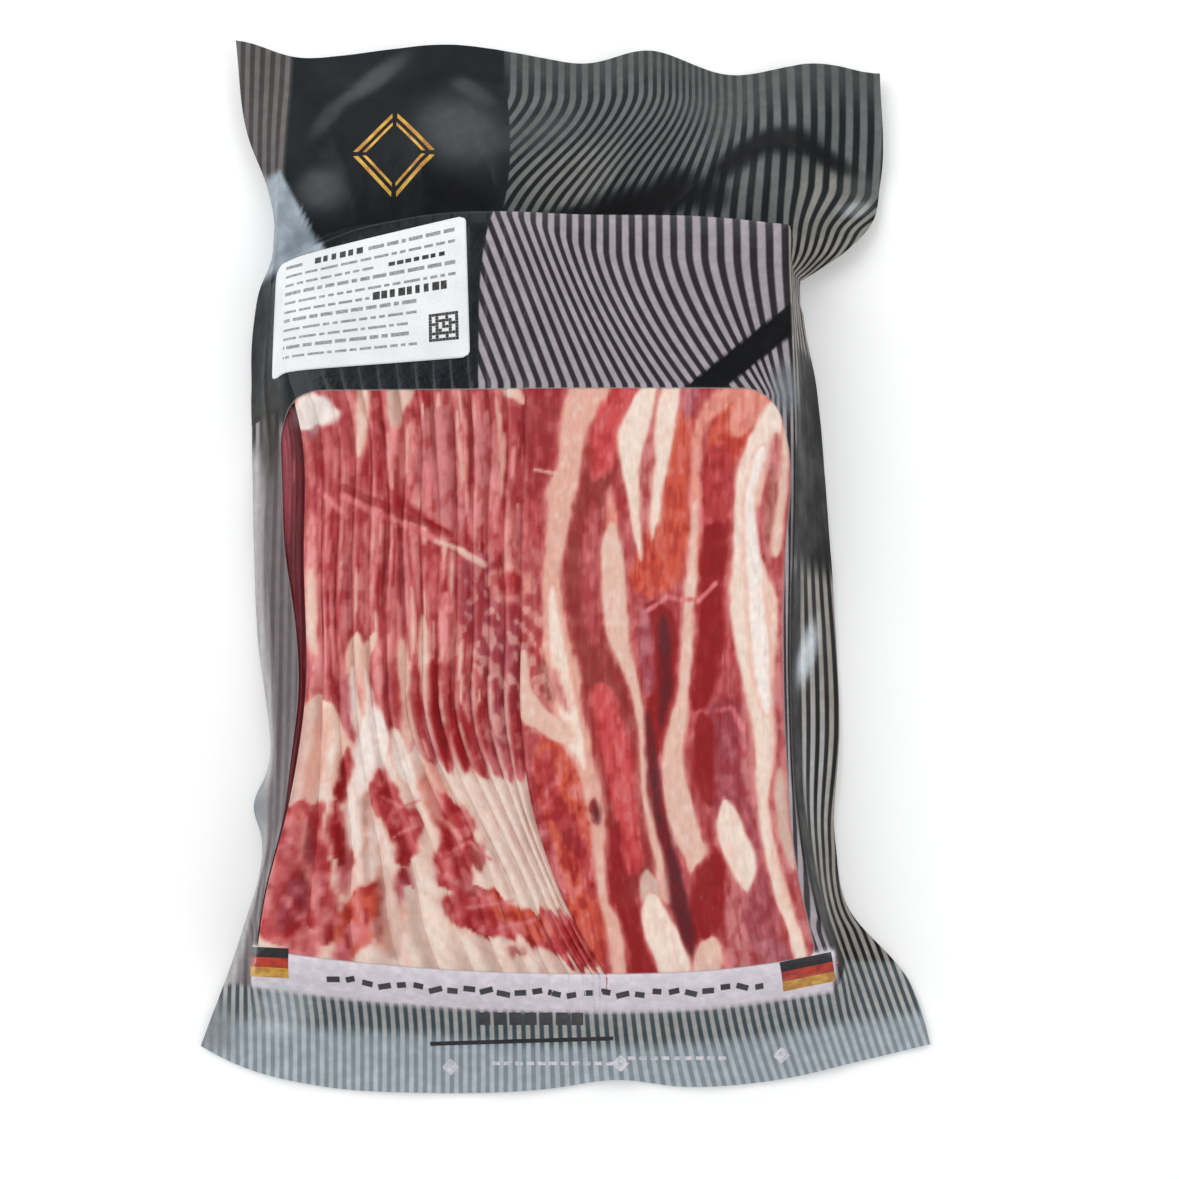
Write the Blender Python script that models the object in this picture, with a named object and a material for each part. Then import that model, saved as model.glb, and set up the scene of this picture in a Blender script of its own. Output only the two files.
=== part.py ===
"""Vacuum pack of sliced bacon, lying flat on its back.

A film pouch is drawn tight over a block of overlapping slices. The two films
meet in a seam round the block: a long wavy flap past the far end, a narrow
skirt down both sides and a flat strip along the near end. A paper label is
stuck over the block's far left corner. Sizes are in millimetres, with +X to
the reader's right, +Y towards the flap and Z = 0 on the table.
"""

import bpy
import numpy as np

MM = 0.001

# Film
FILM_EDGE = 0.6          # both films together, as thick as a solid can carry them
LABEL_GAP = 0.45
LABEL_THICKNESS = 0.3

# Pouch outline: a nominal 200 by 300 pouch, drawn in where the block takes up film
LEFT_EDGE = (
    (-151, -104), (-138.7, -100), (-113, -91), (-92, -85), (-57, -82.7), (-25, -87.5),
    (10, -89.4), (46, -91), (74, -89.6), (90, -84.8), (106, -87.4), (122, -93.5), (152, -97.8),
)
RIGHT_EDGE = (
    (-151, 102), (-138.7, 100), (-121, 94.2), (-102, 78.4), (-84, 75), (-50, 76.7),
    (0, 75), (46, 72), (68, 68.5), (77.5, 67), (86, 80), (96, 88.8), (108, 91.6), (143, 92.2),
)
TOP_EDGE = (
    (-98, 151.4), (-78, 148.2), (-33, 149.9), (8, 146.2), (24, 147.8), (49, 143), (72, 144), (93, 142),
)
BOTTOM_EDGE = (
    (-104, -137), (-90, -144), (-68, -149.6), (-40, -151.5), (-4, -150.4), (13.5, -148),
    (32, -149.9), (57, -148.2), (80, -143.2), (102, -138),
)
SIDE_TAB_Y = -73.0       # a small ear of film on the left skirt
SIDE_TAB_OUT = 4.6
SIDE_TAB_HALF = 8.0
LEAST_SKIRT = 1.6        # the skirt never gets narrower than this

# Block of slices: the shoulder is where its flat top ends
BLOCK_TOP = 28.6
BLOCK_LEFT = (
    (-151, -85), (-122, -82.8), (-100, -80.4), (-74, -74.2), (-47, -70.6), (-8, -71.8),
    (26, -73), (48, -78), (70, -79.5), (100, -78), (152, -78),
)
BLOCK_RIGHT = (
    (-151, 76), (-122, 73.6), (-100, 66.5), (-74, 61.8), (-47, 60.6), (22, 63), (86, 62.4), (152, 62),
)
BLOCK_FRONT = ((-104, -112), (-82, -115), (-44, -117.4), (9, -120.6), (40, -119.6), (76, -115), (102, -112))
BLOCK_BACK = ((-104, 60), (-82, 73.6), (-66, 84), (-44, 90), (9, 90.6), (40, 90), (63, 87.6), (93, 84))
CORNER_POWER = 2.4       # higher is a squarer block corner
SHOULDER_DROP = 1.7
SHOULDER_REACH = 4.2
SHOULDER_LINEAR = 0.42   # share of the wall that falls straight

# Plan width of the sloping film wall on each side of the block
LEFT_WALL = ((-151, 4.5), (-122, 4.8), (-100, 4.2), (-86, 4.6), (-47, 9.4), (30, 10.4), (60, 6.5), (152, 6))
RIGHT_WALL = ((-151, 5), (-100, 5.4), (40, 4.8), (70, 3.4), (152, 5))
FRONT_WALL = ((-104, 17), (9, 18), (102, 17))
BACK_WALL = ((-104, 13), (-80, 9.5), (-50, 4.6), (60, 4), (93, 5))

# Height of the seam beside the block and of the free edge of the film
SEAM_HEIGHT = ((-151, 3), (-137, 4), (-116, 8), (-92, 11), (60, 11.5), (90, 10), (112, 9), (152, 8))
SKIRT_EDGE_HEIGHT = ((-151, 1.5), (-110, 2.2), (-60, 2.4), (60, 2.8), (90, 4), (120, 5), (152, 6.5))
FRONT_EDGE_HEIGHT = 1.4
SKIRT_BOW = 0.85         # below 1 the skirt falls steeply first

# Slices: shingled strips on the left, the last slice whole on the right
STRIP_COUNT = 13
STRIP_STEP = 0.75        # height of one slice edge under the film
STRIP_LIP = 0.9          # plan width of that step
PRINT_Y = 34.0           # past this the printed film is thicker and hides the steps
PRINT_BLEND = 9.0
PRINT_STEP_SHARE = 0.12
LAST_SLICE_X = -12.0     # left edge of the whole slice, at the middle of the block
STRIPS_LEFT_X = -72.0
STRIPS_RIGHT_X = 61.0
FAN_START_Y = -38.0      # below this the strips splay towards the near end
FAN_END_Y = -120.0
FAN_SHIFT = 23.0
FAN_POWER = 2.4          # higher starts the splay more gently
FAN_CROWD = 0.8          # how far the strips spread on the left and crowd at the last slice
FAN_CROWD_LENGTH = 58.0
STRIPS_LOW = 1.6         # how much lower the leftmost strip lies
FRONT_LOW = 2.2          # how much lower the block is at the near end

# Flap folds: x on the free edge, x at the block, half width, height
FLAP_FOLDS = (
    (-94, -84, 6, 1.4), (-79, -68, 10, -2.8), (-36, -34, 22, 3.0), (4, 0, 9, -2.2),
    (23, 16, 10, 3.6), (48, 38, 12, -3.4), (73, 60, 12, 2.6), (89, 76, 7, -1.6),
)
FLAP_RISE = 4.2
FLAP_EDGE_DROP = 3.4
FOLD_AT_BLOCK = 0.22     # share of a fold's height left beside the block

# Ripples along the skirts: y, half width, height at the free edge
LEFT_RIPPLES = (
    (-104, 6, 1.2), (-86, 5, 1.6), (-72, 6, -0.7), (-48, 9, 1.4), (-22, 7, -0.8),
    (8, 9, 1.5), (34, 7, -0.9), (56, 8, 1.6), (76, 6, 1.0), (94, 7, 2.4),
)
RIGHT_RIPPLES = (
    (-112, 6, 1.8), (-92, 7, -0.6), (-66, 9, 1.5), (-34, 8, -0.8), (-6, 9, 1.4),
    (24, 8, -0.9), (50, 7, 1.3), (72, 6, 1.6), (90, 6, 3.0), (106, 8, -1.2),
)
FRONT_RIPPLES = ((-78, 9, 0.7), (-46, 10, 0.5), (-12, 9, 0.7), (13, 7, 2.2), (38, 10, 0.5), (70, 9, 0.9))

# Film gathered round the block's far right corner
GATHER_X = 62.0
GATHER_Y = 84.0
GATHER_RADIUS = 19.0
GATHER_SPREAD = 10.0
GATHER_HEIGHT = 1.5
GATHER_FOLDS = 7.0

# Label: a 58 by 41 sticker; its far left corner sinks over the block's corner
LABEL_CORNERS = ((-83.0, 44.8), (-26.6, 48.8), (-28.2, 90.2), (-82.2, 77.0))
LABEL_COLUMNS = 16
LABEL_ROWS = 12
LABEL_CROWDING = 1.6     # above 1 its columns crowd towards the shoulder it bends over

# Mesh divisions of each zone
SKIRT_STATIONS = (0.0, 0.35, 0.7)
WALL_STATIONS = (0.0, 0.25, 0.5, 0.75)
STEEP_STATIONS = (0.0, 0.35, 0.7)
WHOLE_SLICE_COLUMNS = 7
BLOCK_ROWS = 22
FLAP_ROWS = 11
SETTLE_ROUNDS = 12
SHARE_ROUNDS = 8
SLOPE_REACH = 0.5


def curve(knots, at):
    """Smooth curve through (place, value) knots, read at any places."""
    place = np.array([knot[0] for knot in knots], float)
    value = np.array([knot[1] for knot in knots], float)
    slope = np.gradient(value, place)
    at = np.clip(at, place[0], place[-1])
    i = np.clip(np.searchsorted(place, at) - 1, 0, len(place) - 2)
    width = place[i + 1] - place[i]
    u = (at - place[i]) / width
    rise = value[i + 1] - value[i]
    start = slope[i] * width
    end = slope[i + 1] * width
    return value[i] + u * (start + u * (3 * rise - 2 * start - end + u * (start + end - 2 * rise)))


def mix(a, b, share):
    return a + (b - a) * share


def ease(u):
    u = np.clip(u, 0, 1)
    return u * u * (3 - 2 * u)


def bell(distance, half_width):
    return np.exp(-((distance / half_width) ** 2))


def left_foot(y):
    return curve(BLOCK_LEFT, y) - curve(LEFT_WALL, y)


def right_foot(y):
    return curve(BLOCK_RIGHT, y) + curve(RIGHT_WALL, y)


def left_edge(y):
    edge = curve(LEFT_EDGE, y) - SIDE_TAB_OUT * bell(y - SIDE_TAB_Y, SIDE_TAB_HALF)
    return np.minimum(edge, left_foot(y) - LEAST_SKIRT)


def right_edge(y):
    return np.maximum(curve(RIGHT_EDGE, y), right_foot(y) + LEAST_SKIRT)


def front_foot(x):
    return curve(BLOCK_FRONT, x) - curve(FRONT_WALL, x)


def back_foot(x):
    return curve(BLOCK_BACK, x) + curve(BACK_WALL, x)


def last_slice_edge(y):
    splay = np.clip((FAN_START_Y - y) / (FAN_START_Y - FAN_END_Y), 0, 1) ** FAN_POWER
    return LAST_SLICE_X + FAN_SHIFT * splay


def fan_crowd(y):
    return FAN_CROWD * ease((FAN_START_Y - 4 - y) / FAN_CROWD_LENGTH)


def fan_share(share, y):
    """Share across the strips once they spread at the near left and crowd at the last slice."""
    return mix(share, 1 - np.clip(1 - share, 0, None) ** FAN_POWER, fan_crowd(y))


def across_slices(base_x, y):
    """Plan x of a line that follows the slices, named by its x at the middle of the block."""
    last = last_slice_edge(y)
    strip_share = fan_share((base_x - STRIPS_LEFT_X) / (LAST_SLICE_X - STRIPS_LEFT_X), y)
    whole_share = (base_x - LAST_SLICE_X) / (STRIPS_RIGHT_X - LAST_SLICE_X)
    strips = mix(curve(BLOCK_LEFT, y), last, strip_share)
    whole = mix(last, curve(BLOCK_RIGHT, y), whole_share)
    return np.where(base_x < LAST_SLICE_X, strips, whole)


def strip_place(x, y):
    """Number of the strip at a place, with the share of its width as the decimals."""
    left = curve(BLOCK_LEFT, y)
    target = (x - left) / (last_slice_edge(y) - left)
    crowd = fan_crowd(y)
    share = target
    for _ in range(SHARE_ROUNDS):
        slope = 1 - crowd + crowd * FAN_POWER * np.clip(1 - share, 0, None) ** (FAN_POWER - 1)
        share = share - (fan_share(share, y) - target) / slope
    return share * STRIP_COUNT


def step_height(y):
    return STRIP_STEP * mix(1, PRINT_STEP_SHARE, ease((y - PRINT_Y) / PRINT_BLEND))


def slice_relief(x, y):
    """Saw-tooth of the slice edges: a sharp step up, then a slow fall to the next."""
    place = strip_place(x, y)
    strip_width = (LAST_SLICE_X - STRIPS_LEFT_X) / STRIP_COUNT
    lip = STRIP_LIP / strip_width
    part = place - np.floor(place)
    tooth = np.where(part < lip, part / lip, (1 - part) / (1 - lip))
    inside = (place > 0) & (place < STRIP_COUNT)
    on_whole_slice = np.where(place >= STRIP_COUNT, np.clip((place - STRIP_COUNT) / lip, 0, 1), 0)
    return step_height(y) * np.where(inside, tooth, on_whole_slice)


def block_top(x, y, crests=False):
    """Height of the tight film over the slices, or over the crests of their edges alone."""
    low_left = STRIPS_LOW * (1 - np.clip(strip_place(x, y) / STRIP_COUNT, 0, 1))
    low_front = FRONT_LOW * ease((-60 - y) / 60)
    swell = 0.5 * np.sin(x / 23.0 + 0.7) * np.sin(y / 31.0 + 0.4)
    relief = step_height(y) if crests else slice_relief(x, y)
    return BLOCK_TOP - low_left - low_front + swell + relief


def outside_block(x, y):
    """0 on the block's shoulder, 1 at the foot of the wall, below 0 on its flat top."""
    left = curve(BLOCK_LEFT, y)
    right = curve(BLOCK_RIGHT, y)
    front = curve(BLOCK_FRONT, x)
    back = curve(BLOCK_BACK, x)
    side = np.maximum((left - x) / curve(LEFT_WALL, y), (x - right) / curve(RIGHT_WALL, y))
    end = np.maximum((front - y) / curve(FRONT_WALL, x), (y - back) / curve(BACK_WALL, x))
    both = np.clip(side, 0, None) ** CORNER_POWER + np.clip(end, 0, None) ** CORNER_POWER
    inward = np.minimum(np.minimum(x - left, right - x), np.minimum(y - front, back - y))
    return both ** (1 / CORNER_POWER), np.clip(inward, 0, None)


def gather(x, y):
    """Radial folds where the film turns round the block's far right corner."""
    radius = np.hypot(x - GATHER_X, y - GATHER_Y)
    turn = np.arctan2(y - GATHER_Y, x - GATHER_X)
    return GATHER_HEIGHT * bell(radius - GATHER_RADIUS, GATHER_SPREAD) * np.cos(GATHER_FOLDS * turn)


def ripples(rows, at):
    return sum(height * bell(at - place, half) for place, half, height in rows)


def seam_surface(x, y):
    """Height of the joined films outside the block."""
    left = np.clip((left_foot(y) - x) / (left_foot(y) - left_edge(y)), 0, 1)
    right = np.clip((x - right_foot(y)) / (right_edge(y) - right_foot(y)), 0, 1)
    front = np.clip((front_foot(x) - y) / (front_foot(x) - curve(BOTTOM_EDGE, x)), 0, 1)
    back = np.clip((y - back_foot(x)) / (curve(TOP_EDGE, x) - back_foot(x)), 0, 1)
    skirt = np.maximum(left, right) ** SKIRT_BOW
    height = curve(SEAM_HEIGHT, y)
    height = height + FLAP_RISE * np.sin(np.pi * np.minimum(back * 1.25, 1)) * (1 - skirt)
    height = height - FLAP_EDGE_DROP * back**2
    height = mix(height, curve(SKIRT_EDGE_HEIGHT, y), skirt)
    height = height + left * ripples(LEFT_RIPPLES, y) + right * ripples(RIGHT_RIPPLES, y)
    for edge_x, root_x, half, rise in FLAP_FOLDS:
        fold = bell(x - mix(root_x, edge_x, back), half)
        height = height + rise * fold * mix(FOLD_AT_BLOCK, 1, back) * ease(back * 4)
    height = height + gather(x, y) * ease(right * 3 + back * 3)
    height = mix(height, FRONT_EDGE_HEIGHT, ease(front))
    height = height + front * ripples(FRONT_RIPPLES, x)
    return np.maximum(height, FILM_EDGE + 0.5)


def upper_film(x, y, crests=False):
    outside, inward = outside_block(x, y)
    seam = seam_surface(x, y)
    wall = np.clip(outside, 0, 1)
    falling = SHOULDER_LINEAR * wall + (1 - SHOULDER_LINEAR) * ease(wall)
    shoulder = SHOULDER_DROP * np.exp(-inward / SHOULDER_REACH)
    return mix(block_top(x, y, crests) - shoulder, seam, falling)


def lower_film(x, y):
    outside, inward = outside_block(x, y)
    return mix(0, seam_surface(x, y) - FILM_EDGE, ease(outside))


def column_lines():
    """The lines that run the pouch's length: functions of y, from left to right."""
    lines = []
    for share in SKIRT_STATIONS:
        lines.append(lambda y, s=share: mix(left_edge(y), left_foot(y), s))
    for share in WALL_STATIONS:
        lines.append(lambda y, s=share: mix(left_foot(y), curve(BLOCK_LEFT, y), s))
    strip_width = (LAST_SLICE_X - STRIPS_LEFT_X) / STRIP_COUNT
    for number in range(STRIP_COUNT + 1):
        edge = STRIPS_LEFT_X + number * strip_width
        lines.append(lambda y, b=edge: across_slices(np.full_like(y, b), y))
        lines.append(lambda y, b=edge + STRIP_LIP: across_slices(np.full_like(y, b), y))
    for share in np.linspace(0, 1, WHOLE_SLICE_COLUMNS + 1)[1:]:
        base = mix(LAST_SLICE_X + STRIP_LIP, STRIPS_RIGHT_X, share)
        lines.append(lambda y, b=base: across_slices(np.full_like(y, b), y))
    for share in WALL_STATIONS[1:] + (1.0,):
        lines.append(lambda y, s=share: mix(curve(BLOCK_RIGHT, y), right_foot(y), s))
    for share in [1 - s for s in reversed(SKIRT_STATIONS)]:
        lines.append(lambda y, s=share: mix(right_foot(y), right_edge(y), s))
    return lines


def row_lines():
    """The lines that run across the pouch: functions of x, from the near end to the flap's edge."""
    lines = []
    for share in SKIRT_STATIONS:
        lines.append(lambda x, s=share: mix(curve(BOTTOM_EDGE, x), front_foot(x), s))
    for share in WALL_STATIONS:
        lines.append(lambda x, s=share: mix(front_foot(x), curve(BLOCK_FRONT, x), s))
    for share in np.linspace(0, 1, BLOCK_ROWS + 1):
        lines.append(lambda x, s=share: mix(curve(BLOCK_FRONT, x), curve(BLOCK_BACK, x), s))
    for share in STEEP_STATIONS[1:]:
        lines.append(lambda x, s=share: mix(curve(BLOCK_BACK, x), back_foot(x), s))
    for share in np.linspace(0, 1, FLAP_ROWS + 1):
        lines.append(lambda x, s=share: mix(back_foot(x), curve(TOP_EDGE, x), s))
    return lines


def plan_grid():
    """Plan places where the two sets of lines cross."""
    columns = column_lines()
    rows = row_lines()
    x = np.tile(np.linspace(-90, 90, len(columns)), (len(rows), 1))
    y = np.tile(np.linspace(-140, 140, len(rows))[:, None], (1, len(columns)))
    for _ in range(SETTLE_ROUNDS):
        x = np.stack([line(y[:, i]) for i, line in enumerate(columns)], axis=1)
        y = np.stack([line(x[j]) for j, line in enumerate(rows)], axis=0)
    return x, y


def sheet_solid(x, y, upper, lower, flat=None):
    """Closed mesh between two heights over one plan grid; `flat` is a block of rows and columns
    whose underside is a single level face."""
    rows, columns = x.shape
    top = np.stack([x, y, upper], axis=-1).reshape(-1, 3)
    base = np.stack([x, y, lower], axis=-1).reshape(-1, 3)
    below = len(top)
    faces = []
    for j in range(rows - 1):
        for i in range(columns - 1):
            a = j * columns + i
            b, c, d = a + 1, a + 1 + columns, a + columns
            leaning = (i + j) % 2 == 0
            halves = ((a, b, c), (a, c, d)) if leaning else ((a, b, d), (b, c, d))
            faces += halves
            if flat and flat[0] <= j < flat[1] and flat[2] <= i < flat[3]:
                continue
            faces += [tuple(below + v for v in reversed(half)) for half in halves]
    rim = [i for i in range(columns)]
    rim += [j * columns + columns - 1 for j in range(1, rows)]
    rim += [(rows - 1) * columns + i for i in range(columns - 2, -1, -1)]
    rim += [j * columns for j in range(rows - 2, 0, -1)]
    for a, b in zip(rim, rim[1:] + rim[:1]):
        faces += [(a, below + a, below + b), (a, below + b, b)]
    if flat:
        first_row, last_row, first, last = flat
        ring = [first_row * columns + i for i in range(first, last)]
        ring += [j * columns + last for j in range(first_row, last_row)]
        ring += [last_row * columns + i for i in range(last, first, -1)]
        ring += [j * columns + first for j in range(last_row, first_row, -1)]
        faces.append(tuple(below + v for v in reversed(ring)))
    vertices = np.concatenate([top, base])
    used = sorted({v for face in faces for v in face})
    renumbered = {v: i for i, v in enumerate(used)}
    return vertices[used], [tuple(renumbered[v] for v in face) for face in faces]


def new_object(name, vertices, faces, material):
    mesh = bpy.data.meshes.new(name)
    mesh.from_pydata((vertices * MM).tolist(), [], faces)
    mesh.validate()
    mesh.materials.append(material)
    mesh.shade_smooth()
    mesh.set_sharp_from_angle(angle=0.9)
    piece = bpy.data.objects.new(name, mesh)
    bpy.context.scene.collection.objects.link(piece)
    return piece


def new_material(name, colour, roughness):
    material = bpy.data.materials.new(name)
    material.use_nodes = True
    shader = material.node_tree.nodes["Principled BSDF"]
    shader.inputs["Base Color"].default_value = (*colour, 1)
    shader.inputs["Roughness"].default_value = roughness
    shader.inputs["Metallic"].default_value = 0.0
    return material


def plan_centre(x, y):
    """Middle of the pouch's plan, which becomes the origin."""
    return (x.min() + x.max()) / 2, (y.min() + y.max()) / 2


def make_pouch(centre, x, y):
    first_column = len(SKIRT_STATIONS) + len(WALL_STATIONS)
    last_column = first_column + 2 * (STRIP_COUNT + 1) + WHOLE_SLICE_COLUMNS - 1
    first_row = len(SKIRT_STATIONS) + len(WALL_STATIONS)
    last_row = first_row + BLOCK_ROWS
    flat = (first_row, last_row, first_column, last_column)
    upper = upper_film(x, y)
    lower = lower_film(x, y)
    lower[first_row:last_row + 1, first_column:last_column + 1] = 0
    vertices, faces = sheet_solid(x - centre[0], y - centre[1], upper, lower, flat)
    film = new_material("Film", (0.36, 0.16, 0.16), 0.22)
    return new_object("pouch", vertices, faces, film)


def make_label(centre):
    across = np.linspace(0, 1, LABEL_COLUMNS + 1)[None, :] ** LABEL_CROWDING
    along = np.linspace(0, 1, LABEL_ROWS + 1)[:, None]
    near_left, near_right, far_right, far_left = LABEL_CORNERS
    x = mix(mix(near_left[0], near_right[0], across), mix(far_left[0], far_right[0], across), along)
    y = mix(mix(near_left[1], near_right[1], across), mix(far_left[1], far_right[1], across), along)
    slope_x = (upper_film(x + SLOPE_REACH, y, True) - upper_film(x - SLOPE_REACH, y, True)) / (2 * SLOPE_REACH)
    slope_y = (upper_film(x, y + SLOPE_REACH, True) - upper_film(x, y - SLOPE_REACH, True)) / (2 * SLOPE_REACH)
    upright = np.sqrt(1 + slope_x**2 + slope_y**2)
    lower = upper_film(x, y, True) + LABEL_GAP * upright
    upper = lower + LABEL_THICKNESS * upright
    vertices, faces = sheet_solid(x - centre[0], y - centre[1], upper, lower)
    paper = new_material("Label paper", (0.86, 0.86, 0.85), 0.55)
    return new_object("label", vertices, faces, paper)


def main():
    for leftover in list(bpy.data.objects):
        bpy.data.objects.remove(leftover, do_unlink=True)
    x, y = plan_grid()
    centre = plan_centre(x, y)
    make_pouch(centre, x, y)
    make_label(centre)


main()
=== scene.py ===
import math

import bpy
import numpy as np
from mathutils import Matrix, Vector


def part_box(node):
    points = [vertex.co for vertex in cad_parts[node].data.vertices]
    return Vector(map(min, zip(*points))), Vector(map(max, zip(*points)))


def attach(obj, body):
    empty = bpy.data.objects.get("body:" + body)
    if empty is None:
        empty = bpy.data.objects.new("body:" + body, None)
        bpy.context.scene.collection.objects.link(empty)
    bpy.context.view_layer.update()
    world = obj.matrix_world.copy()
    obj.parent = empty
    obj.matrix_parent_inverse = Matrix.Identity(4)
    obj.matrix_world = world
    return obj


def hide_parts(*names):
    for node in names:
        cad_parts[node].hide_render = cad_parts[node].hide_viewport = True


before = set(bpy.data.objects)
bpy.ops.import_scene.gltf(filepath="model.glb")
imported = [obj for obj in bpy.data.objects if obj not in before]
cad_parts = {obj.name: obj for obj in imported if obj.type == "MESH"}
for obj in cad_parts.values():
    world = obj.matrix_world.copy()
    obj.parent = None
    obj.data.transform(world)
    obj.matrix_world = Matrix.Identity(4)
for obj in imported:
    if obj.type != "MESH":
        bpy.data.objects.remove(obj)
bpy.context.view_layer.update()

# Looks of a vacuum pack of sliced bacon lying on its back. Sizes are in millimetres in the
# pack's own plan: +X to the reader's right, +Y towards the flap, Z = 0 on the table.
MM = 0.001

# Camera: the photograph's side and focal length in pixels, then place and tilt
PHOTO_SIDE = 1179
FOCAL_PIXELS = 2193
SENSOR = 36
CAMERA_PLACE = (6.58, -120.0, 615.5)
CAMERA_TILT = 10

# Soft lights: name, place and side in metres, power in watts
LIGHTS = (
    ("key", (-0.9, 0.35, 1.0), 1.3, 13),
    ("fill", (0.95, -0.5, 0.9), 1.3, 8),
    ("back", (0.3, 1.1, 0.6), 1.2, 5),
)
WORLD_COLOUR = (0.96, 0.98, 1.0, 1)
WORLD_STRENGTH = 0.36
FLOOR_HALF = 3.0

# How finely lines are settled and phases are traced back
SETTLE_ROUNDS = 12
FACE_ROUNDS = 14
FLAP_ROUNDS = 10
TRACE_STEP = 0.6

# Pouch outline, as in the solid
LEFT_EDGE = (
    (-151, -104), (-138.7, -100), (-113, -91), (-92, -85), (-57, -82.7), (-25, -87.5),
    (10, -89.4), (46, -91), (74, -89.6), (90, -84.8), (106, -87.4), (122, -93.5), (152, -97.8),
)
RIGHT_EDGE = (
    (-151, 102), (-138.7, 100), (-121, 94.2), (-102, 78.4), (-84, 75), (-50, 76.7),
    (0, 75), (46, 72), (68, 68.5), (77.5, 67), (86, 80), (96, 88.8), (108, 91.6), (143, 92.2),
)
TOP_EDGE = (
    (-98, 151.4), (-78, 148.2), (-33, 149.9), (8, 146.2), (24, 147.8), (49, 143), (72, 144), (93, 142),
)
BOTTOM_EDGE = (
    (-104, -137), (-90, -144), (-68, -149.6), (-40, -151.5), (-4, -150.4), (13.5, -148),
    (32, -149.9), (57, -148.2), (80, -143.2), (102, -138),
)
SIDE_TAB_Y = -73.0
SIDE_TAB_OUT = 4.6
SIDE_TAB_HALF = 8.0
LEAST_SKIRT = 1.6

# Block of slices, as in the solid: the shoulder is where its flat top ends
BLOCK_TOP = 28.6
BLOCK_LEFT = (
    (-151, -85), (-122, -82.8), (-100, -80.4), (-74, -74.2), (-47, -70.6), (-8, -71.8),
    (26, -73), (48, -78), (70, -79.5), (100, -78), (152, -78),
)
BLOCK_RIGHT = (
    (-151, 76), (-122, 73.6), (-100, 66.5), (-74, 61.8), (-47, 60.6), (22, 63), (86, 62.4), (152, 62),
)
BLOCK_FRONT = ((-104, -112), (-82, -115), (-44, -117.4), (9, -120.6), (40, -119.6), (76, -115), (102, -112))
BLOCK_BACK = ((-104, 60), (-82, 73.6), (-66, 84), (-44, 90), (9, 90.6), (40, 90), (63, 87.6), (93, 84))
CORNER_POWER = 2.4
SHOULDER_DROP = 1.7
SHOULDER_REACH = 4.2
SHOULDER_LINEAR = 0.42
LEFT_WALL = ((-151, 4.5), (-122, 4.8), (-100, 4.2), (-86, 4.6), (-47, 9.4), (30, 10.4), (60, 6.5), (152, 6))
RIGHT_WALL = ((-151, 5), (-100, 5.4), (40, 4.8), (70, 3.4), (152, 5))
FRONT_WALL = ((-104, 17), (9, 18), (102, 17))
BACK_WALL = ((-104, 13), (-80, 9.5), (-50, 4.6), (60, 4), (93, 5))
SEAM_HEIGHT = ((-151, 3), (-137, 4), (-116, 8), (-92, 11), (60, 11.5), (90, 10), (112, 9), (152, 8))
SKIRT_EDGE_HEIGHT = ((-151, 1.5), (-110, 2.2), (-60, 2.4), (60, 2.8), (90, 4), (120, 5), (152, 6.5))
FRONT_EDGE_HEIGHT = 1.4
SKIRT_BOW = 0.85
LEAST_HEIGHT = 1.1
TABLE_GAP = 0.05
FILM_PAIR = 0.3
FILM_RIM = 0.28

# Slices, as in the solid: shingled strips on the left, the last slice whole on the right
STRIP_COUNT = 13
STRIP_STEP = 0.75
STRIP_LIP = 0.9
PRINT_Y = 34.0
PRINT_BLEND = 9.0
PRINT_STEP_SHARE = 0.12
LAST_SLICE_X = -12.0
STRIPS_LEFT_X = -72.0
STRIPS_RIGHT_X = 61.0
STRIP_WIDTH = (LAST_SLICE_X - STRIPS_LEFT_X) / STRIP_COUNT
FAN_START_Y = -38.0
FAN_END_Y = -120.0
FAN_SHIFT = 23.0
FAN_POWER = 2.4
FAN_CROWD = 0.8
STRIP_WOBBLE = 0.8
STRIPS_LOW = 1.6
FRONT_LOW = 2.2
STRIP_THICKNESS = 1.1
WHOLE_THICKNESS = 1.2

# Rows of the slices: fine in the window, coarse under the print, up to the far wall
ROWS_START_Y = -125.5
ROWS_PRINT_Y = 42.0
ROWS_PRINT_LENGTH = 47.5
ROW_FINE = 0.5
ROW_COARSE = 2.5
SLICES_IN_WALL = 2.0

# Stack below: how far down the walls it reaches, how far inside the ends it stays
STACK_LEFT_SHARE = 0.82
STACK_RIGHT_SHARE = 0.5
STACK_FRONT_GAP = 0.8
STACK_BACK_GAP = 1.6
STACK_LAYER = 1.9

# Folds and ripples, as in the solid
FLAP_FOLDS = (
    (-94, -84, 6, 1.4), (-79, -68, 10, -2.8), (-36, -34, 22, 3.0), (4, 0, 9, -2.2),
    (23, 16, 10, 3.6), (48, 38, 12, -3.4), (73, 60, 12, 2.6), (89, 76, 7, -1.6),
)
FLAP_RISE = 4.2
FLAP_EDGE_DROP = 3.4
FOLD_AT_BLOCK = 0.22
LEFT_RIPPLES = (
    (-104, 6, 1.2), (-86, 5, 1.6), (-72, 6, -0.7), (-48, 9, 1.4), (-22, 7, -0.8),
    (8, 9, 1.5), (34, 7, -0.9), (56, 8, 1.6), (76, 6, 1.0), (94, 7, 2.4),
)
RIGHT_RIPPLES = (
    (-112, 6, 1.8), (-92, 7, -0.6), (-66, 9, 1.5), (-34, 8, -0.8), (-6, 9, 1.4),
    (24, 8, -0.9), (50, 7, 1.3), (72, 6, 1.6), (90, 6, 3.0), (106, 8, -1.2),
)
FRONT_RIPPLES = ((-78, 9, 0.7), (-46, 10, 0.5), (-12, 9, 0.7), (13, 7, 2.2), (38, 10, 0.5), (70, 9, 0.9))
GATHER_X = 62.0
GATHER_Y = 84.0
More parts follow.
